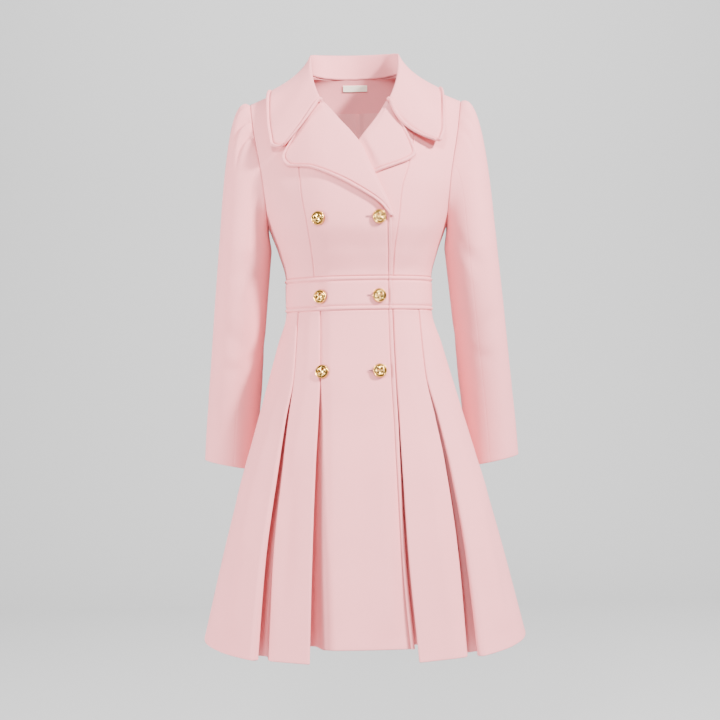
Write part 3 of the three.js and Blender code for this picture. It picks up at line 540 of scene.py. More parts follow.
BACK_FOLDS = [
    (-62, -120, -44, -250, 6, 18, -1.5),
    (58, -150, 40, -270, -7, 16, -1.3),
    (-96, -258, -58, -330, 5, 12, -1.4),
    (92, -244, 62, -328, -6, 13, 1.1),
    (-12, -285, 26, -334, 5, 13, -1.0),
    (-58, -470, -84, -790, 8, 26, 3.6),
    (6, -540, -8, -900, -7, 27, -4.1),
    (62, -500, 78, -860, 7, 23, 3.4),
    (-150, -500, -196, -820, -8, 22, -3.6),
    (158, -560, 204, -890, 8, 22, 3.8),
    (128, -450, 160, -700, -6, 18, -2.9),
]


def fold_field(x, z, folds):
    """Depth of all folds at points x, z."""
    total = np.zeros(np.shape(x))
    t = np.linspace(0, 1, FOLD_STEPS)
    for x0, z0, x1, z1, bend, width, depth in folds:
        length = math.hypot(x1 - x0, z1 - z0)
        bow = 4 * bend * t * (1 - t) / length
        path_x = mix(x0, x1, t) - bow * (z1 - z0)
        path_z = mix(z0, z1, t) + bow * (x1 - x0)
        nearest = np.full(np.shape(x), 1e9)
        along = np.zeros(np.shape(x))
        for i in range(len(t) - 1):
            dx = path_x[i + 1] - path_x[i]
            dz = path_z[i + 1] - path_z[i]
            share = ((x - path_x[i]) * dx + (z - path_z[i]) * dz) / (dx * dx + dz * dz)
            share = np.clip(share, 0, 1)
            gap = np.hypot(x - path_x[i] - share * dx, z - path_z[i] - share * dz)
            closer = gap < nearest
            nearest = np.where(closer, gap, nearest)
            along = np.where(closer, (i + share) / (len(t) - 1), along)
        total += depth * hump(nearest, width) * np.sin(np.pi * along) ** FOLD_FADE
    return total


def body_folds(points, normals):
    """Folds of the front and the back at points of the body."""
    x = points[..., 0]
    z = points[..., 2]
    front = ramp(-normals[..., 1], 0.0, FOLD_FACING)
    back = ramp(normals[..., 1], 0.0, FOLD_FACING)
    return front * fold_field(x, z, FRONT_FOLDS) + back * fold_field(x, z, BACK_FOLDS)


# Edges of a panel: a seam is a soft valley, a free edge is full and has its topstitching further in
EDGE_KINDS = {
    "seam": {"lines": AT_SEAM, "valley": 1.15, "swell": 0.4, "stitch": None, "round": 0.5},
    "blind": {"lines": AT_SEAM, "valley": 0.12, "swell": 0.0, "stitch": None, "round": 0.05},
    "arm": {"lines": AT_SEAM, "valley": 0.15, "swell": 0.7, "stitch": None, "round": 0.45},
    "deep": {"lines": AT_SEAM, "valley": 0.35, "swell": 0.0, "stitch": None, "round": 0.1},
    "free": {"lines": AT_FREE, "valley": 0.3, "swell": 2.8, "stitch": TOPSTITCH, "round": 0.92},
    "band": {"lines": AT_FREE, "valley": 0.8, "swell": 1.2, "stitch": TOPSTITCH, "round": 0.8},
    "plain": {"lines": AT_PLAIN, "valley": 0.0, "swell": 0.0, "stitch": None, "round": 0.92},
    "hem": {"lines": AT_PLAIN, "valley": 0.0, "swell": 0.3, "stitch": None, "round": 0.92},
}
VALLEY_WIDE = 1.3
GROOVE = 1.5
GROOVE_WIDE = 1.2
SEWN_LINES = []


def edge_relief(kind, distance):
    facts = EDGE_KINDS[kind]
    relief = -facts["valley"] * hump(distance, VALLEY_WIDE)
    reach = facts["stitch"] or SWELL_REACH
    relief += facts["swell"] * ramp(distance, 0, SWELL_RISE) * (1 - ramp(distance, reach * SWELL_FULL, reach))
    if facts["stitch"]:
        relief -= GROOVE * hump(distance - facts["stitch"], GROOVE_WIDE)
    return relief


def spaced(lengths, spacing, start, end):
    """Shares along each length: fixed distances near both ends and even steps between."""
    lengths = np.reshape(np.asarray(lengths, float), (-1, 1))
    count = max(int(lengths.max() / spacing), 3)
    squeeze = np.minimum(1, EDGE_SHARE * lengths / max(start[-1], end[-1]))
    low = np.array(start) * squeeze
    high = lengths - np.array(end)[::-1] * squeeze
    between = np.linspace(0, 1, count + 2)[1:-1]
    middle = mix(low[:, -1:], high[:, :1], between)
    return np.hstack([low, middle, high]) / lengths


def run_lengths(points, axis):
    """Distances along a grid from its first line."""
    step = np.linalg.norm(np.diff(points, axis=axis), axis=-1)
    start = np.zeros_like(np.take(step, [0], axis=axis))
    return np.concatenate([start, np.cumsum(step, axis=axis)], axis=axis)


def edge_distances(points):
    """Distance of each grid point from the left, right, bottom and top edge."""
    across = run_lengths(points, 1)
    up = run_lengths(points, 0)
    return {
        "left": across,
        "right": across[:, -1:] - across,
        "bottom": up,
        "top": up[-1:] - up,
    }


def rim_dip(distance, thick, roundness):
    """How far the face rolls down towards the middle of the cloth at an edge."""
    half = thick / 2
    share = np.clip(distance / half, 0, 1)
    return roundness * half * (1 - np.sqrt(1 - (1 - share) ** 2))


def cloth_wall(points, normals, thick, sides, shift=0.0, out=None):
    """Outer and inner grids of a cloth panel with its edges; sides names the kind of each edge."""
    distance = edge_distances(points)
    relief = np.zeros(points.shape[:2])
    dip = np.zeros(points.shape[:2])
    for side, kind in sides.items():
        relief += edge_relief(kind, distance[side])
        dip = np.maximum(dip, rim_dip(distance[side], thick, EDGE_KINDS[kind]["round"]))
    direction = normals if out is None else out
    moved = points + direction * np.asarray(shift)[..., None] if np.ndim(shift) else points
    outer = moved + normals * (relief - dip)[..., None]
    inner = moved - normals * (thick - dip)[..., None]
    for side, kind in sides.items():
        stitch = EDGE_KINDS[kind]["stitch"]
        if stitch:
            add_sewn_line(outer, normals, distance[side], side, stitch)
    return outer, inner


def add_sewn_line(outer, normals, distance, side, stitch):
    """Keeps the line that runs at a distance from one edge, for the stitches."""
    if side in ("bottom", "top"):
        outer = outer.transpose(1, 0, 2)
        normals = normals.transpose(1, 0, 2)
        distance = distance.T
    if side in ("right", "top"):
        outer = outer[:, ::-1]
        normals = normals[:, ::-1]
        distance = distance[:, ::-1]
    line = []
    facing = []
    for row, normal, away in zip(outer, normals, distance):
        if away[-1] < SEWN_ROOM * stitch:
            continue
        line.append([np.interp(stitch, away, row[:, k]) for k in range(3)])
        facing.append([np.interp(stitch, away, normal[:, k]) for k in range(3)])
    if len(line) > 2:
        SEWN_LINES.append((np.array(line), np.array(facing)))


def wall_faces(rows, columns):
    index = np.arange(rows * columns).reshape(rows, columns)
    back = index + rows * columns
    quads = [
        (index[:-1, :-1], index[:-1, 1:], index[1:, 1:], index[1:, :-1]),
        (back[:-1, :-1], back[1:, :-1], back[1:, 1:], back[:-1, 1:]),
        (index[:-1, 0], index[1:, 0], back[1:, 0], back[:-1, 0]),
        (index[:-1, -1], back[:-1, -1], back[1:, -1], index[1:, -1]),
        (index[0, :-1], back[0, :-1], back[0, 1:], index[0, 1:]),
        (index[-1, :-1], index[-1, 1:], back[-1, 1:], back[-1, :-1]),
    ]
    return np.concatenate([np.stack(quad, axis=-1).reshape(-1, 4) for quad in quads])


def make_object(name, points, faces, material):
    """A smooth mesh object from points in millimetres."""
    mesh = bpy.data.meshes.new(name)
    mesh.from_pydata((np.asarray(points) * MM).tolist(), [], faces)
    mesh.polygons.foreach_set("use_smooth", [True] * len(mesh.polygons))
    mesh.materials.append(material)
    mesh.update()
    piece = bpy.data.objects.new(name, mesh)
    bpy.context.scene.collection.objects.link(piece)
    return piece


def add_piece(node, outer, inner, material):
    """The cloth that stands for one node."""
    faces = wall_faces(*outer.shape[:2])
    points = np.concatenate([outer.reshape(-1, 3), inner.reshape(-1, 3)])
    piece = make_object(f"{node}_cloth", points, faces, material)
    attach(piece, "root")
    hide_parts(node)


def surface_panel(surface, sides, spacing=SPACING):
    """Points and normals of a panel on a surface of shares across and up."""
    lines = {side: EDGE_KINDS[kind]["lines"] for side, kind in sides.items()}
    coarse = np.linspace(0, 1, COARSE_ACROSS)
    a, u = np.meshgrid([0.5], np.linspace(0, 1, COARSE_UP))
    tall = run_lengths(surface(a, u), 0)[-1].max()
    up = spaced(tall, spacing, lines["bottom"], lines["top"])[0]
    a, u = np.meshgrid(coarse, up)
    wide = run_lengths(surface(a, u), 1)[:, -1]
    across = spaced(wide, spacing, lines["left"], lines["right"])
    levels = np.broadcast_to(up[:, None], across.shape)
    points = surface(across, levels)
    side = surface(across + SHARE_STEP, levels) - surface(across - SHARE_STEP, levels)
    higher = np.minimum(levels + SHARE_STEP, 1)
    lower = np.maximum(levels - SHARE_STEP, 0)
    rise = surface(across, higher) - surface(across, lower)
    return points, unit(np.cross(side, rise))


def body_panel(node, surface, sides, thick, material, spacing=SPACING):
    points, normals = surface_panel(surface, sides, spacing)
    outer, inner = cloth_wall(points, normals, thick, sides, body_folds(points, normals))
    add_piece(node, outer, inner, material)


# Bodice
def level_of(share):
    return mix(BAND_TOP, SHOULDER, np.clip(share, 0, 1))


def arm_angle(level):
    inside = np.radians(smooth(ARMHOLE, "degrees", level))
    return np.where(level <= UNDERARM, math.pi / 2, inside)


def add_bodice():
    for side, column in ((-1, "right"), (1, "left")):
        front = right_front if side < 0 else body

        def side_surface(a, u, side=side, column=column, front=front):
            level = level_of(u)
            arm = arm_angle(level)
            seam = front_angle(smooth(PRINCESS, column, level), level)
            angle = mix(-arm, seam, a) if side < 0 else mix(seam, arm, a)
            return front(angle, level)

        def centre_surface(a, u, side=side, column=column, front=front):
            level = level_of(u)
            seam = front_angle(smooth(PRINCESS, column, level), level)
            edge = front_angle(smooth(FRONT_EDGE, column, level), level)
            angle = mix(seam, edge, a) if side < 0 else mix(edge, seam, a)
            return front(angle, level)

        def back_surface(a, u, side=side):
            level = level_of(u)
            arm = arm_angle(level)
            seam = front_angle(smooth(PRINCESS, "back", level), level)
            angle = math.pi - mix(arm, seam, a) if side > 0 else math.pi + mix(seam, arm, a)
            return body(angle, level)

        seams = {"left": "seam", "right": "seam", "bottom": "seam", "top": "seam"}
        armhole = {**seams, "left" if side < 0 else "right": "arm"}
        body_panel(f"front_{column}_side", side_surface, armhole, CLOTH, WOOL)
        edges = {**seams, "right" if side < 0 else "left": "free"}
        body_panel(f"front_{column}_centre", centre_surface, edges, CLOTH, WOOL)
        body_panel(f"back_{column}_side", back_surface, seams, CLOTH, WOOL)
    body_panel("back_centre", lambda a, u: back_centre(a, u, 0.0), seams, CLOTH, WOOL)


def back_top(x):
    inside = np.clip(1 - (x / NECK_HALF) ** 2, 0, 1)
    return NECKLINE_LEVEL * inside**NECKLINE_ROUND


def back_centre(a, u, depth):
    """Centre back panel, or what lies inside it at a depth."""
    share = np.clip(2 * a - 1, -1, 1)
    level = mix(BAND_TOP, back_top(PRINCESS["back"][-1] * share), np.clip(u, 0, 1))
    x = smooth(PRINCESS, "back", level) * (2 * a - 1)
    return above(math.pi + front_angle(x, level), level, -np.broadcast_to(depth, np.shape(a)))


def add_bands():
    quarter = math.pi / 2
    closing = float(front_angle(CLOSING_X, BAND_TOP))
    underlap = float(front_angle(UNDERLAP_EDGE, BAND_TOP))
    rows = [
        ("waistband_right", -quarter, closing, True, {"left": "seam", "right": "free"}),
        ("waistband_left", underlap, quarter, False, {"left": "plain", "right": "seam"}),
        ("waistband_back", quarter, 3 * quarter, False, {"left": "seam", "right": "seam"}),
    ]
    for node, start, end, lapped, sides in rows:
        def surface(a, u, start=start, end=end, lapped=lapped):
            level = mix(BAND_BOTTOM, BAND_TOP, u)
            angle = mix(start, end, a)
            lift = lap_lift(body(angle, level)[..., 0], level) if lapped else 0.0
            return above(angle, level, BAND_PROUD + lift + np.zeros(np.shape(a)))
        body_panel(node, surface, {**sides, "bottom": "band", "top": "band"}, BAND_CLOTH, WOOL)


# Skirt
def fold_angle(x, z, out):
    """Angle at which a point that stands out from the section lies at the wanted x."""
    angle = front_angle(x, z)
    for _ in range(FOLD_ROUNDS):
        angle = front_angle(x - body_normal(angle, z)[..., 0] * out, z)
    return angle


def level_normal(angle, z):
    normal = body_normal(angle, z)
    normal[..., 2] = 0
    return unit(normal)


def skirt_point(angle, z, out, dip):
    """The section moved out, and lower by the dip at the hem."""
    angle, z, out, dip = np.broadcast_arrays(angle, z, out, dip)
    point = body(angle, z) + level_normal(angle, z) * out[..., None]
    point[..., 2] -= dip * ((BAND_BOTTOM - z) / (BAND_BOTTOM - HEM)) ** DIP_POWER
    return point


def sunk(from_end, size):
    """How deep a panel lies at a distance from its tucked end."""
    return -size["sink"] * (1 - ramp(from_end, size["under"], size["under"] + size["open"]))


def pleat_out(distance, width, stand, size, tucked):
    """How far a pleated panel stands out at a distance from its fold."""
    fade_from = size["under"] + RAISE_MARGIN
    raised = PLEAT_RAISE * (1 - ramp(distance, fade_from, fade_from + RAISE_FADE))
    rest = np.clip(1 - distance / width, 0, 1)
    return raised + stand * rest**STAND_POWER + (sunk(width - distance, size) if tucked else 0.0)


def span(start, end, z):
    return np.linalg.norm(body(start, z) - body(end, z), axis=-1)


def skirt_rows():
    return mix(HEM, BAND_BOTTOM, spaced(BAND_BOTTOM - HEM, SPACING, AT_PLAIN, AT_SEAM)[0])[:, None]


def pleat_grid(z, start, fold, stand, size, below, dip, thick, tucked=False):
    """Rows of a panel whose fold lies at its right end, with the part tucked behind."""
    width = span(start, fold, z)
    first = (thick - FOLD_THICK) / 2

    def angle_of(distance):
        return fold - (fold - start) * distance / width

    face = mix(width, first, spaced(width, PLEAT_SPACING, AT_SEAM, AT_FOLD))
    face_out = pleat_out(face, width, stand, size, tucked)
    top = pleat_out(first, width, stand, size, tucked)
    turn = np.linspace(0, math.pi, FOLD_TURNS)[1:]
    bend = first - thick / 2 * np.sin(turn) + np.zeros_like(z)
    bend_out = top - thick / 2 * (1 - np.cos(turn))
    last = size["under"] - 1
    inside = np.linspace(0, 1, TUCK_STEPS)[1:]
    behind = mix(first, last, inside)
    inside_out = mix(top - thick, below(angle_of(behind)) + LYING_GAP, inside)
    distance = np.hstack([face, bend, behind])
    out = np.hstack([face_out, bend_out, inside_out])
    angle = angle_of(distance)
    share = np.clip(1 - distance / width, 0, 1)
    share[:, face.shape[1]:] = 1
    return skirt_point(angle, z, out, dip if tucked else dip * share), angle


def skirt_sizes(z, inner_column, outer_column):
    size = {name: smooth(STAND, name, z) for name in STAND if name != "z"}
    inner_fold = -fold_angle(smooth(SKIRT, inner_column, z), z, size["inner"] + PLEAT_RAISE)
    outer_fold = -fold_angle(smooth(SKIRT, outer_column, z), z, size["outer"] + PLEAT_RAISE)
    per_millimetre = ANGLE_STEP / span(outer_fold, outer_fold + ANGLE_STEP, z)
    middle_start = outer_fold - size["under"] * per_millimetre
    middle_width = span(middle_start, inner_fold, z)

    def middle_out(angle):
        distance = (inner_fold - angle) / (inner_fold - middle_start) * middle_width
        return pleat_out(distance, middle_width, size["inner"], size, True)

    return {
        **size,
        "inner_fold": inner_fold,
        "outer_fold": outer_fold,
        "middle_start": middle_start,
        "middle_out": middle_out,
    }


def path_normals(points):
    """Outward side of level paths."""
    along = np.gradient(points, axis=1)
    return unit(stack(along[..., 1], -along[..., 0], 0.0))


def mirrored(grid):
    return grid[:, ::-1] * np.array([-1.0, 1.0, 1.0])


def skirt_panel(node, points, angle, z, sides, flip=False):
    out = level_normal(angle, np.broadcast_to(z, angle.shape))
    normals = path_normals(points)
    if flip:
        points = mirrored(points)
        out = mirrored(out)
        normals = mirrored(normals)
        sides = {**sides, "left": sides["right"], "right": sides["left"]}
    folds = body_folds(points, out)
    outer, inner = cloth_wall(points, normals, CLOTH, sides, folds, out)
    add_piece(node, outer, inner, WOOL)


def add_skirt_fronts():
    z = skirt_rows()
    sides = {"left": "seam", "right": "plain", "bottom": "hem", "top": "seam"}
    for side in ("right", "left"):
        size = skirt_sizes(z, f"{side}_inner", f"{side}_outer")
        flip = side == "left"
        quarter = np.full_like(z, -math.pi / 2)
        points, angle = pleat_grid(z, quarter, size["outer_fold"], size["outer"], size, size["middle_out"],
                                   SIDE_DIP, size["soft"])
        skirt_panel(f"skirt_front_{side}_side", points, angle, z, sides, flip)
        points, angle = pleat_grid(z, size["middle_start"], size["inner_fold"], size["inner"], size,
                                   lambda angle: -size["sink"], MIDDLE_DIP, np.full_like(z, FOLD_THICK), True)
        skirt_panel(f"skirt_front_{side}_middle", points, angle, z, {**sides, "left": "plain"}, flip)
        fold_x = smooth(BODY, "half", z) * np.sin(size["inner_fold"])
        edge = smooth(SKIRT, "edge", z) if side == "right" else np.full_like(z, -UNDERLAP_EDGE)
        start_x = fold_x - size["under"]
        x = mix(start_x, edge, spaced(edge - start_x, PLEAT_SPACING, AT_PLAIN, AT_FREE))
        out = sunk(x - start_x, size)
        if side == "right":
            out = out + lap_lift(x, np.broadcast_to(z, x.shape))
            sew_pleat(z, fold_x, size)
        angle = front_angle(x, z)
        closing = {**sides, "left": "plain", "right": "free" if side == "right" else "plain"}
        points = skirt_point(angle, z, out, 0.0)
        skirt_panel(f"skirt_front_{side}_centre", points, angle, z, closing, flip)


def sew_pleat(z, fold_x, size):
    """The line of stitches that holds the inner pleat below the band."""
    rows = z[:, 0] > PLEAT_SEWN_TO
    height = z[rows]
    x = fold_x[rows] + TOPSTITCH
    part = {name: size[name][rows] for name in ("sink", "under", "open")}
    out = sunk(part["under"] + TOPSTITCH, part) + lap_lift(x, height)
    angle = front_angle(x, height)
    line = skirt_point(angle, height, out, 0.0)
    SEWN_LINES.append((line[:, 0], level_normal(angle, height)[:, 0]))


def add_skirt_back():
    z = skirt_rows()
    size = skirt_sizes(z, "left_inner", "left_outer")
    fold = math.pi - fold_angle(smooth(SKIRT, "back", z), z, size["back"] + PLEAT_RAISE)
    sides = {"left": "seam", "right": "plain", "bottom": "hem", "top": "seam"}
    points, angle = pleat_grid(z, np.full_like(z, math.pi / 2), fold, size["back"], size,
                               lambda angle: -size["sink"], BACK_DIP, size["soft"])
    skirt_panel("skirt_back_left", points, angle, z, sides)
    skirt_panel("skirt_back_right", points, angle, z, sides, True)
    end_x = smooth(BODY, "half", z) * np.sin(fold) + size["under"]
    x = mix(end_x, -end_x, spaced(2 * end_x, PLEAT_SPACING, AT_PLAIN, AT_PLAIN))
    angle = math.pi - front_angle(x, z)
    sides = {"left": "plain", "right": "plain", "bottom": "hem", "top": "seam"}
    points = skirt_point(angle, z, sunk(end_x - np.abs(x), size), 0.0)
    skirt_panel("skirt_back_centre", points, angle, z, sides)


# Lapels: the face, then the roll round the front's edge to its inner side
def add_lapel(side, node, source, gorge):
    front = right_front if side < 0 else body
    down = spaced(LAPEL_LENGTH, LAPEL_SPACING, AT_SEAM, AT_FREE)[0][:, None]
    roll_x = smooth(source, "roll_x", down)
    roll_z = smooth(source, "roll_z", down)
    edge_x = smooth(source, "edge_x", down)
    edge_z = smooth(source, "edge_z", down)
    width = np.hypot(edge_x - roll_x, edge_z - roll_z)
    share = 1 - spaced(width, LAPEL_SPACING, AT_FREE, AT_ROLL)
    x = mix(roll_x, edge_x, share)
    level = mix(roll_z, edge_z, share)
    height = smooth(LAPEL_HEIGHT, "height", share)
    if side > 0:
        clear = x - smooth(FRONT_EDGE, "right", level)
        height = mix(np.minimum(height, TUCKED_HEIGHT), height, ramp(clear, TUCKED_FROM, TUCKED_TO))
    angle = front_angle(x, level)
    face = front(angle, level) + body_normal(angle, level) * height[..., None]
    # beyond the roll line the cloth turns under and runs back inside the front
    away = stack(roll_x - edge_x, 0.0, roll_z - edge_z) / width[..., None]
    roll_angle = front_angle(roll_x, roll_z)
    normal = body_normal(roll_angle, roll_z)
    away = unit(away - normal * np.sum(away * normal, axis=-1, keepdims=True))
    top = face[:, -1:]
    turn = np.linspace(0, math.pi, ROLL_TURNS)[1:][None, :, None]
    bend = top + away * ROLL_RADIUS * np.sin(turn) - normal * ROLL_RADIUS * (1 - np.cos(turn))
    run = np.linspace(0, ROLL_INSIDE, ROLL_STEPS)[1:][None, :, None]
    inside = bend[:, -1:] - away * run - normal * ROLL_SLOPE * run
    points = np.concatenate([face, bend, inside], axis=1)
    if side < 0:
        points = points[::-1]
    else:
        points = points[::-1, ::-1]
    rise = np.gradient(points, axis=0)
    along = np.gradient(points, axis=1)
    normals = unit(np.cross(along, rise))
    outer_side = "left" if side < 0 else "right"
    inner_side = "right" if side < 0 else "left"
    sides = {outer_side: "free", inner_side: "plain", "top": gorge, "bottom": "plain"}
    outer, inner = cloth_wall(points, normals, COLLAR_CLOTH, sides)
    add_piece(node, outer, inner, WOOL)


# Collar: fall, fold and stand in one piece
def collar_table():
    flip = np.array([-1 if "_x" in name else 1 for name in COLLAR_COLUMNS.split()], float)
    flip[0] = -1
    right = [tuple(np.array(row) * flip) for row in [*COLLAR_SIDE[1:], *COLLAR_RIGHT_END]]
    return table(COLLAR_COLUMNS, *right, *COLLAR_SIDE, *COLLAR_LEFT_END)


def bezier(a, b, c, t):
    return a * (1 - t) ** 2 + b * 2 * t * (1 - t) + c * t**2


def corner_trim(distance, radius):
    """How far a rounded corner draws the edge in at a distance from the corner."""
    inside = np.clip(radius - distance, 0, radius)
    return radius - np.sqrt(radius**2 - inside**2)


def collar_profiles(stations, at, rows):
    """Profile of the collar at each station, from its outer edge over the fold to the neck seam."""
    def pick(part):
        return stack(*(smooth(stations, f"{part}_{axis}", at) for axis in "xyz"))
    fold, mid, edge, seam = (pick(part)[None] for part in ("fold", "mid", "edge", "seam"))
    t = np.linspace(1, 0, FALL_STEPS)[:, None, None]
    fall = bezier(fold, mid, edge, t)
    outward = seam - mid
    outward[..., 2] = 0
    bulge = mix(fold, seam, BULGE_AT) + BULGE_OUT * unit(outward)
    t = np.linspace(0, 1, STAND_STEPS)[1:, None, None]
    stand = bezier(fold, bulge, seam, t)
    profile = np.concatenate([fall, stand])
    result = np.empty((len(rows), profile.shape[1], 3))
    along = run_lengths(edge, 1)[0]
    trims = corner_trim(along, RIGHT_CORNER) + corner_trim(along[-1] - along, LEFT_CORNER)
    for i in range(profile.shape[1]):
        line = profile[:, i]
        run = run_lengths(line[:, None], 0)[:, 0]
        even = np.arange(0, run[-1], COLLAR_STEP)
        points = np.stack([np.interp(even, run, line[:, k]) for k in range(3)], axis=-1)
        reach = int(3 * COLLAR_SMOOTH / COLLAR_STEP)
        kernel = hump(np.arange(-reach, reach + 1) * COLLAR_STEP, COLLAR_SMOOTH)
        kernel /= kernel.sum()
        before = 2 * points[0] - points[reach:0:-1]
        after = 2 * points[-1] - points[-2:-reach - 2:-1]
        padded = np.concatenate([before, points, after])
        soft = np.stack([np.convolve(padded[:, k], kernel, "valid") for k in range(3)], axis=-1)
        places = mix(trims[i], even[-1], rows)
        result[:, i] = np.stack([np.interp(places, even, soft[:, k]) for k in range(3)], axis=-1)
    return result


def add_collar():
    stations = collar_table()
    at = mix(-COLLAR_END, COLLAR_END, spaced(COLLAR_LENGTH, COLLAR_ALONG, AT_FREE, AT_FREE)[0])
    rows = spaced(COLLAR_DEPTH, COLLAR_ACROSS, AT_FREE, AT_SEAM)[0]
    points = collar_profiles(stations, at, rows)[:, ::-1]
    normals = unit(np.cross(np.gradient(points, axis=1), np.gradient(points, axis=0)))
    sides = {"bottom": "free", "top": "seam", "left": "free", "right": "free"}
    outer, inner = cloth_wall(points, normals, COLLAR_CLOTH, sides)
    add_piece("collar", outer, inner, WOOL)


# Sleeves
def armhole_point(turn):
    wrapped = turn - np.round(turn)
    level = smooth(ARMHOLE_TURN, "level", np.abs(wrapped) * 2)
    arm = np.radians(smooth(ARMHOLE, "degrees", level))
    return body(np.where(wrapped >= 0, arm, math.pi - arm), level)


def sleeve_ring(turn, z):
    angle = turn * 2 * math.pi
    near_cuff = ramp(SLEEVE_TOP - z, CUFF_FROM, SLEEVE_TOP - SLEEVE_END)
    return stack(
        smooth(SLEEVE, "x", z) + smooth(SLEEVE, "wide", z) * np.cos(angle),
        smooth(SLEEVE, "y", z) - smooth(SLEEVE, "deep", z) * np.sin(angle),
        z + CUFF_TILT * near_cuff * np.cos(angle),
    )


def cap_pleats(turn, share, strength):
    """Small pleats at the top of the cap, which fade out below it."""
    wrapped = turn - np.round(turn)
    fade = ramp(share, 0, CAP_FADE_IN) * (1 - ramp(share, *CAP_FADE_OUT))
    rows = zip(CAP_PLEATS["turn"], CAP_PLEATS["height"], CAP_PLEATS["wide"])
    return strength * fade * sum(height * hump(wrapped - at, wide) for at, height, wide in rows)


def sleeve_point(turn, share, strength):
    """Points of the wearer's left sleeve: share 0 to 1 is the cap, 1 to 2 the arm."""
    turn, share = np.broadcast_arrays(turn, share)
    arm = sleeve_ring(turn, mix(SLEEVE_TOP, SLEEVE_END, np.clip(share - 1, 0, 1)))
    s = np.clip(share, 0, 1)[..., None]
    start = armhole_point(turn)
    start[..., 0] += CAP_CLEAR
    end = sleeve_ring(turn, np.full(turn.shape, SLEEVE_TOP))
    top = 0.5 + 0.5 * np.cos(turn * 2 * math.pi)
    first = start.copy()
    first[..., 0] += mix(UNDER_PUFF, CAP_PUFF, top)
    first[..., 2] += mix(UNDER_LIFT, CAP_LIFT, top)
    second = end.copy()
    second[..., 2] += mix(UNDER_RISE, CAP_RISE, top)
    second[..., 0] -= mix(0, CAP_INWARD, top)
    cap = start * (1 - s) ** 3 + first * 3 * s * (1 - s) ** 2 + second * 3 * s**2 * (1 - s) + end * s**3
    outward = unit(cap - np.array(CAP_CENTRE, float))
    cap = cap + outward * cap_pleats(turn, s[..., 0], strength)[..., None]
    return np.where((share >= 1)[..., None], arm, cap)


def add_sleeves():
    sections = (("upper", UPPER_TURNS, UPPER_WIDE), ("under", UNDER_TURNS, UNDER_WIDE))
    sides = {"left": "blind", "right": "blind", "bottom": "hem", "top": "deep"}
    for part, (start, end), wide in sections:
        share = 2 - spaced(SLEEVE_LENGTH, SPACING, AT_PLAIN, AT_SEAM)[0][:, None] * 2
        turn = mix(end, start, spaced(wide, SLEEVE_SPACING, AT_SEAM, AT_SEAM)[0])[None, :]
        for side, strength in PLEAT_STRENGTH.items():
            points = sleeve_point(turn, share, strength)
            before = sleeve_point(turn - SHARE_STEP, share, strength)
            along = before - sleeve_point(turn + SHARE_STEP, share, strength)
            higher = sleeve_point(turn, np.maximum(share - SHARE_STEP, 0), strength)
            lower = sleeve_point(turn, np.where(share >= 2, 2.0, share + SHARE_STEP), strength)
            rise = higher - lower
            normals = unit(np.cross(along, rise))
            around = (turn + np.zeros_like(share)) * SLEEVE_ROUND
            folds = fold_field(around, points[..., 2] + FOLD_SHIFT[side], SLEEVE_FOLDS)
            outer, inner = cloth_wall(points, normals, CLOTH, sides, folds)
            if side == "right":
                outer = mirrored(outer)
                inner = mirrored(inner)
            add_piece(f"sleeve_{side}_{part}", outer, inner, WOOL)


# Inside of the back neck
def back_level(x, z):
    """Level of the back at which a point beside the middle has the wanted height."""
    level = z + NECKLINE_LEVEL
    for _ in range(LEVEL_ROUNDS):
        level = level + z - body(math.pi + front_angle(x, level), level)[..., 2]
    return level


def facing_share(across):
    """Share of the back's height at which the facing ends in a level line."""
    share = 2 * across - 1
    x = smooth(PRINCESS, "back", FACING_BOTTOM + NECKLINE_LEVEL / 2) * share
    top = back_top(PRINCESS["back"][-1] * share)
    return (back_level(x, FACING_BOTTOM) - BAND_TOP) / (top - BAND_TOP)


def add_neck_inside():
    def facing_surface(a, u):
        across = mix(FACING_SIDE, 1 - FACING_SIDE, a)
        return back_centre(across, mix(facing_share(across), 1.0, u), CLOTH + LYING_GAP)

    def lining_surface(a, u):
        across = mix(FACING_SIDE, 1 - FACING_SIDE, a)
        side = np.where(across < LINING_PLEAT, LINING_PLEAT_WIDE, LINING_PLEAT_SHARP)
        pleat = LINING_PLEAT_DEPTH * hump(across - LINING_PLEAT, side) * np.clip(u, 0, 1)
        return back_centre(across, u * facing_share(across), CLOTH + LYING_GAP + pleat)

    sides = {"left": "plain", "right": "plain", "bottom": "seam", "top": "blind"}
    points, normals = surface_panel(facing_surface, sides, NECK_SPACING)
    outer, inner = cloth_wall(points, normals, LINING_CLOTH, sides)
    add_piece("neck_facing", outer, inner, WOOL)
    sides = {"left": "plain", "right": "plain", "bottom": "seam", "top": "seam"}
    points, normals = surface_panel(lining_surface, sides, NECK_SPACING)
    outer, inner = cloth_wall(points, normals, LINING_CLOTH, sides)
    add_piece("back_lining", outer, inner, LINING)

    def label_surface(a, u):
        x = mix(-LABEL_WIDE / 2, LABEL_WIDE / 2, a)
        level = back_level(x, mix(LABEL_BOTTOM, LABEL_TOP, u))
        depth = CLOTH + LINING_CLOTH + 3 * LYING_GAP
        return above(math.pi + front_angle(x, level), level, np.full(np.shape(x), -depth))
    plain = {"left": "plain", "right": "plain", "bottom": "plain", "top": "plain"}
    points, normals = surface_panel(label_surface, plain, LABEL_SPACING)
    outer, inner = cloth_wall(points, normals, LABEL_CLOTH, plain)
    add_piece("neck_label", outer, inner, LABEL)


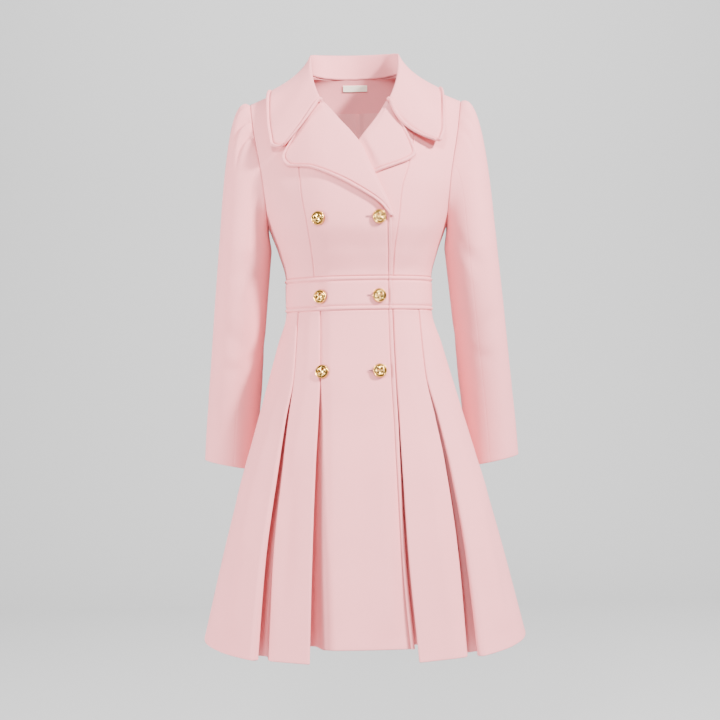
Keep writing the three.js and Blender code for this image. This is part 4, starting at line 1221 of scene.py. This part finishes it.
# Buttons: a rim, a hollow ring and a domed centre with two crossed bars
def button_height(radius, angle):
    """Height and painted light at a place on the button; the four wells between the bars and the hollow ring
    get painted shade, the bars a painted highlight.
    """
    r = radius / BUTTON_RADIUS
    across = r * np.cos(angle)
    up = r * np.sin(angle)
    rim = RIM["height"] * hump(r - RIM["at"], RIM["wide"])
    dome = DOME["height"] * np.sqrt(np.maximum(0, 1 - (r / DOME["reach"]) ** 2))
    inside = 1 - ramp(r, *BARS["ends"])
    bars = BARS["height"] * np.maximum(hump(across, BARS["wide"]), hump(up, BARS["wide"])) * inside
    wells = hump(np.abs(across) - WELLS["at"], WELLS["wide"]) * hump(np.abs(up) - WELLS["at"], WELLS["wide"])
    moat = hump(r - MOAT["at"], MOAT["wide"])
    edge = EDGE["depth"] * ramp(r, EDGE["from"], 1.0)
    height = BUTTON_BASE + rim + dome + bars - WELLS["depth"] * wells - MOAT["depth"] * moat - edge
    # painted shade in the wells and the hollow ring, painted highlight on the bars
    shade = 1 - WELLS["painted_shade"] * wells - MOAT["painted_shade"] * moat + BARS["painted_highlight"] * bars
    shade = np.clip(shade, 0, 1)
    return height, shade


def add_buttons():
    middle = np.linspace(*BUTTON_MIDDLE)
    border = np.linspace(*BUTTON_BORDER)
    radii = np.concatenate([[BUTTON_TIP], middle, border]) * BUTTON_RADIUS
    turn = np.linspace(0, 2 * math.pi, BUTTON_SIDES, endpoint=False)
    radius, angle = np.meshgrid(radii, turn, indexing="ij")
    height, shade = button_height(radius, angle)
    face = stack(radius * np.cos(angle), radius * np.sin(angle), height)
    rings = []
    for share, low in BUTTON_UNDER:
        across = BUTTON_RADIUS * share * np.cos(turn)
        up = BUTTON_RADIUS * share * np.sin(turn)
        rings.append(stack(across, up, low))
    grid = np.concatenate([face, np.stack(rings)])
    count = len(grid)
    index = np.arange(count * BUTTON_SIDES).reshape(count, BUTTON_SIDES)
    after = np.roll(index, -1, axis=1)
    faces = np.stack([index[:-1], index[1:], after[1:], after[:-1]], axis=-1).reshape(-1, 4)
    faces = faces.tolist() + [index[0].tolist(), index[-1, ::-1].tolist()]
    for number, (node, x, level, seat) in enumerate(BUTTONS):
        angle = float(front_angle(x, level))
        normal = Vector(body_normal(np.float64(angle), np.float64(level)))
        spot = Vector(above(np.float64(angle), np.float64(level), seat))
        twist = Matrix.Rotation(BUTTON_TWIST[number], 3, "Z")
        turned = np.array(normal.to_track_quat("Z", "Y").to_matrix() @ twist)
        points = grid.reshape(-1, 3) @ turned.T + np.array(spot)
        piece = make_object(f"{node}_metal", points, faces, BRASS)
        # painted shade and highlight of the face; the underside stays at full colour
        painted_light = piece.data.attributes.new(PAINTED_LIGHT_ATTRIBUTE, "FLOAT", "POINT")
        painted_light.data.foreach_set("value", np.concatenate([shade.ravel(), np.ones(len(rings) * BUTTON_SIDES)]))
        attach(piece, "root")
        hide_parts(node)


# Sewing: short rounded stitches in their grooves, and the worked buttonholes
def resampled(line, pitch):
    """Points along the first of some lines at even steps, and the others' values at the same places."""
    run = run_lengths(line[0][:, None], 0)[:, 0]
    count = int(run[-1] / pitch)
    even = (np.arange(count) + 0.5) * run[-1] / max(count, 1)
    return [np.stack([np.interp(even, run, part[:, k]) for k in range(3)], axis=-1) for part in line]


def add_stitches():
    """One capsule for each stitch of every sewn line."""
    ends = STITCH_SHAPE["at"]
    girth = STITCH_SHAPE["girth"]
    turn = np.linspace(0, 2 * math.pi, STITCH_SIDES, endpoint=False)
    shape = stack(
        (ends * STITCH_LONG / 2)[:, None],
        girth[:, None] * STITCH_RADIUS * np.cos(turn),
        girth[:, None] * STITCH_RADIUS * np.sin(turn),
    )
    index = np.arange(shape.shape[0] * STITCH_SIDES).reshape(-1, STITCH_SIDES)
    after = np.roll(index, -1, axis=1)
    sides = np.stack([index[:-1], after[:-1], after[1:], index[1:]], axis=-1).reshape(-1, 4)
    template = shape.reshape(-1, 3)
    points = []
    faces = []
    for line, facing in SEWN_LINES:
        spots, normals = resampled((line, facing), STITCH_PITCH)
        if len(spots) < 3:
            continue
        along = unit(np.gradient(spots, axis=0))
        normals = unit(normals - along * np.sum(along * normals, axis=-1, keepdims=True))
        side = np.cross(normals, along)
        for spot, forward, left, up in zip(spots + normals * STITCH_RISE, along, side, normals):
            start = len(points) * len(template)
            points.append(spot + template @ np.stack([forward, left, up]))
            faces += (sides + start).tolist()
            faces += [(index[0, ::-1] + start).tolist(), (index[-1] + start).tolist()]
    piece = make_object("topstitching", np.concatenate(points), faces, THREAD)
    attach(piece, "root")


def front_face(x, z):
    """Place and outward side on the closed right front at points x, z."""
    angle = front_angle(x, z)
    lift = lap_lift(x, z) + np.where((z < BAND_TOP) & (z > BAND_BOTTOM), BAND_PROUD, 0.0)
    normal = body_normal(angle, z)
    return body(angle, z) + normal * lift[..., None], normal


def add_buttonholes():
    """A ring of thread beside each button of the closing edge, round a dark sheet that is painted shadow in
    the buttonhole's cut.
    """
    turn = np.linspace(0, 2 * math.pi, BUTTONHOLE_STEPS, endpoint=False)
    start, end = BUTTONHOLE_ENDS
    middle = (start + end) / 2
    half = (end - start) / 2 - BUTTONHOLE_HALF
    path_x = middle + np.sign(np.cos(turn)) * half + BUTTONHOLE_HALF * np.cos(turn)
    path_z = BUTTONHOLE_HALF * np.sin(turn)
    for name, level in BUTTONHOLES:
        spots, normals = front_face(path_x, level + path_z)
        along = unit(np.roll(spots, -1, axis=0) - np.roll(spots, 1, axis=0))
        side = np.cross(normals, along)
        around = np.linspace(0, 2 * math.pi, THREAD_SIDES, endpoint=False)[None, :, None]
        height = THREAD_RISE + THREAD_FLAT * BUTTONHOLE_THREAD * np.sin(around)
        tube = spots[:, None] + side[:, None] * BUTTONHOLE_THREAD * np.cos(around) + normals[:, None] * height
        index = np.arange(tube.shape[0] * THREAD_SIDES).reshape(-1, THREAD_SIDES)
        low = np.roll(index, -1, axis=0)
        faces = np.stack([index, np.roll(index, -1, axis=1), np.roll(low, -1, axis=1), low], axis=-1)
        ring = make_object(f"buttonhole_{name}_thread", tube.reshape(-1, 3), faces.reshape(-1, 4), THREAD)
        levels = np.full(len(turn), float(level))
        inner_x = middle + (path_x - middle) * SLIT_LONG
        bed, facing = front_face(inner_x, level + path_z * SLIT_WIDE)
        centre, up = front_face(np.full(len(turn), middle), levels)
        line, line_up = front_face(inner_x, levels)
        rings = [bed + facing * SLIT_RIM, line + line_up * SLIT_RISE, centre + up * SLIT_RISE]
        count = len(turn)
        index = np.arange(3 * count).reshape(3, count)
        after = np.roll(index, -1, axis=1)
        faces = np.stack([index[:-1], after[:-1], after[1:], index[1:]], axis=-1).reshape(-1, 4)
        # a thin sheet in the opening, coloured dark as painted shadow
        slit_shadow = make_object(f"buttonhole_{name}_slit", np.concatenate(rings), faces, SLIT_SHADOW)
        for piece in (ring, slit_shadow):
            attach(piece, "root")


# Materials
def new_material(name):
    material = bpy.data.materials.new(name)
    material.use_nodes = True
    tree = material.node_tree
    shader = tree.nodes["Principled BSDF"]
    place = tree.nodes.new("ShaderNodeTexCoord")
    return material, tree, shader, place


def noise(tree, place, scale, detail=2.0, roughness=0.5):
    node = tree.nodes.new("ShaderNodeTexNoise")
    node.inputs["Scale"].default_value = scale
    node.inputs["Detail"].default_value = detail
    node.inputs["Roughness"].default_value = roughness
    tree.links.new(place.outputs["Object"], node.inputs["Vector"])
    return node.outputs["Fac"]


def shades(tree, factor, dark, light):
    node = tree.nodes.new("ShaderNodeMapRange")
    node.inputs["From Min"].default_value = 0.3
    node.inputs["From Max"].default_value = 0.7
    node.inputs["To Min"].default_value = dark
    node.inputs["To Max"].default_value = light
    tree.links.new(factor, node.inputs["Value"])
    return node.outputs["Result"]


def times(tree, a, b):
    node = tree.nodes.new("ShaderNodeMath")
    node.operation = "MULTIPLY"
    tree.links.new(a, node.inputs[0])
    tree.links.new(b, node.inputs[1])
    return node.outputs["Value"]


def tinted(tree, colour, factor, shader):
    node = tree.nodes.new("ShaderNodeVectorMath")
    node.operation = "SCALE"
    node.inputs[0].default_value = colour
    tree.links.new(factor, node.inputs["Scale"])
    tree.links.new(node.outputs["Vector"], shader.inputs["Base Color"])


def bump(tree, shader, factor, strength, distance):
    node = tree.nodes.new("ShaderNodeBump")
    node.inputs["Strength"].default_value = strength
    node.inputs["Distance"].default_value = distance
    tree.links.new(factor, node.inputs["Height"])
    tree.links.new(node.outputs["Normal"], shader.inputs["Normal"])


def wool_material():
    material, tree, shader, place = new_material("wool_cloth")
    fine = noise(tree, place, scale=1400.0, detail=3.0, roughness=0.6)
    felt = noise(tree, place, scale=260.0, detail=3.0, roughness=0.6)
    broad = noise(tree, place, scale=14.0)
    speckle = shades(tree, fine, dark=0.96, light=1.03)
    clouds = shades(tree, broad, dark=0.985, light=1.015)
    tinted(tree, WOOL_COLOUR, times(tree, speckle, clouds), shader)
    shader.inputs["Roughness"].default_value = 0.88
    shader.inputs["Specular IOR Level"].default_value = 0.25
    shader.inputs["Sheen Weight"].default_value = 0.12
    shader.inputs["Sheen Roughness"].default_value = 0.4
    shader.inputs["Sheen Tint"].default_value = (1.0, 0.82, 0.83, 1.0)
    nap = times(tree, shades(tree, fine, dark=0, light=1), shades(tree, felt, dark=0.6, light=1))
    bump(tree, shader, nap, strength=0.35, distance=0.00025)
    return material


def lining_material():
    material, tree, shader, place = new_material("lining_satin")
    fine = noise(tree, place, scale=900.0)
    tinted(tree, LINING_COLOUR, shades(tree, fine, dark=0.97, light=1.03), shader)
    shader.inputs["Roughness"].default_value = 0.45
    shader.inputs["Specular IOR Level"].default_value = 0.4
    bump(tree, shader, fine, strength=0.15, distance=0.0001)
    return material


def label_material():
    material, tree, shader, place = new_material("label_weave")
    fine = noise(tree, place, scale=1800.0)
    tinted(tree, LABEL_COLOUR, shades(tree, fine, dark=0.95, light=1.03), shader)
    shader.inputs["Roughness"].default_value = 0.7
    bump(tree, shader, fine, strength=0.25, distance=0.0001)
    return material


def brass_material():
    material, tree, shader, place = new_material("button_brass")
    fine = noise(tree, place, scale=350.0, detail=3.0)
    painted_light = tree.nodes.new("ShaderNodeAttribute")
    painted_light.attribute_name = PAINTED_LIGHT_ATTRIBUTE
    # painted light: the brass colour falls to near black in the wells and ring as painted shade and rises on
    # the bars as a painted highlight
    relief = tree.nodes.new("ShaderNodeMapRange")
    relief.inputs["To Min"].default_value = 0.03
    relief.inputs["To Max"].default_value = 1.1
    tree.links.new(painted_light.outputs["Fac"], relief.inputs["Value"])
    wear = shades(tree, fine, dark=0.92, light=1.05)
    tinted(tree, BRASS_COLOUR, times(tree, wear, relief.outputs["Result"]), shader)
    shader.inputs["Metallic"].default_value = 1.0
    shader.inputs["Roughness"].default_value = 0.22
    bump(tree, shader, fine, strength=0.1, distance=0.0002)
    return material


# Material for the thread, and for the painted shadow inside the buttonholes
def thread_and_shadow_material(name, colour):
    material, tree, shader, place = new_material(name)
    fine = noise(tree, place, scale=2500.0)
    tinted(tree, colour, shades(tree, fine, dark=0.92, light=1.05), shader)
    shader.inputs["Roughness"].default_value = 0.6
    bump(tree, shader, fine, strength=0.2, distance=0.0001)
    return material


WOOL = wool_material()
LINING = lining_material()
LABEL = label_material()
BRASS = brass_material()
THREAD = thread_and_shadow_material("pink_thread", THREAD_COLOUR)
# the sheet inside each buttonhole takes a dark colour as painted shadow
SLIT_SHADOW = thread_and_shadow_material("painted_slit_shadow", SLIT_SHADOW_COLOUR)


def add_camera():
    data = bpy.data.cameras.new("photo_camera")
    data.sensor_width = CAMERA_SENSOR
    data.lens = CAMERA_LENS
    camera = bpy.data.objects.new("photo_camera", data)
    camera.location = CAMERA_PLACE
    level = Matrix.Rotation(math.radians(90), 3, "X")
    roll = Matrix.Rotation(CAMERA_ROLL, 3, "Z")
    camera.rotation_euler = (level @ roll).to_euler()
    bpy.context.scene.collection.objects.link(camera)
    bpy.context.scene.camera = camera


def add_studio():
    """Plain pale floor that sweeps up into a backdrop, and soft lights."""
    profile = [(-FLOOR_REACH, 0.0), (SWEEP_START, 0.0)]
    for turn in np.linspace(0, math.pi / 2, SWEEP_STEPS):
        profile.append((SWEEP_START + SWEEP_RADIUS * math.sin(turn), SWEEP_RADIUS * (1 - math.cos(turn))))
    profile.append((SWEEP_START + SWEEP_RADIUS, WALL_TOP))
    points = []
    for x in (-FLOOR_REACH, FLOOR_REACH):
        points += [(x, y, FLOOR_LEVEL + z) for y, z in profile]
    count = len(profile)
    faces = [(i, i + count, i + count + 1, i + 1) for i in range(count - 1)]
    mesh = bpy.data.meshes.new("studio_sweep")
    mesh.from_pydata(points, [], faces)
    mesh.polygons.foreach_set("use_smooth", [True] * len(mesh.polygons))
    material = bpy.data.materials.new("studio_grey")
    material.use_nodes = True
    shader = material.node_tree.nodes["Principled BSDF"]
    shader.inputs["Base Color"].default_value = STUDIO_GREY
    shader.inputs["Roughness"].default_value = 0.95
    mesh.materials.append(material)
    sweep = bpy.data.objects.new("studio_sweep", mesh)
    bpy.context.scene.collection.objects.link(sweep)
    world = bpy.data.worlds.new("studio_air")
    world.use_nodes = True
    world.node_tree.nodes["Background"].inputs["Color"].default_value = WORLD_COLOUR
    world.node_tree.nodes["Background"].inputs["Strength"].default_value = WORLD_STRENGTH
    bpy.context.scene.world = world
    for name, place, target, size, power in LIGHTS:
        data = bpy.data.lights.new(name, "AREA")
        data.shape = "RECTANGLE"
        data.size, data.size_y = size
        data.energy = power
        hang_light(data, place, target)
    data = bpy.data.lights.new("neck_light", "SPOT")
    data.energy = NECK_LIGHT["power"]
    data.spot_size = math.radians(NECK_LIGHT["cone"])
    data.spot_blend = NECK_LIGHT["blend"]
    data.shadow_soft_size = NECK_LIGHT["radius"]
    hang_light(data, NECK_LIGHT["place"], NECK_LIGHT["target"])


def hang_light(data, place, target):
    light = bpy.data.objects.new(data.name, data)
    light.location = place
    aim = Vector(target) - Vector(place)
    light.rotation_euler = aim.to_track_quat("-Z", "Y").to_euler()
    bpy.context.scene.collection.objects.link(light)


add_bodice()
add_bands()
add_skirt_fronts()
add_skirt_back()
add_lapel(-1, "lapel_right", LAPEL_RIGHT, "seam")
add_lapel(1, "lapel_left", LAPEL_LEFT, "seam")
add_collar()
add_sleeves()
add_neck_inside()
add_buttons()
add_stitches()
add_buttonholes()
add_camera()
add_studio()
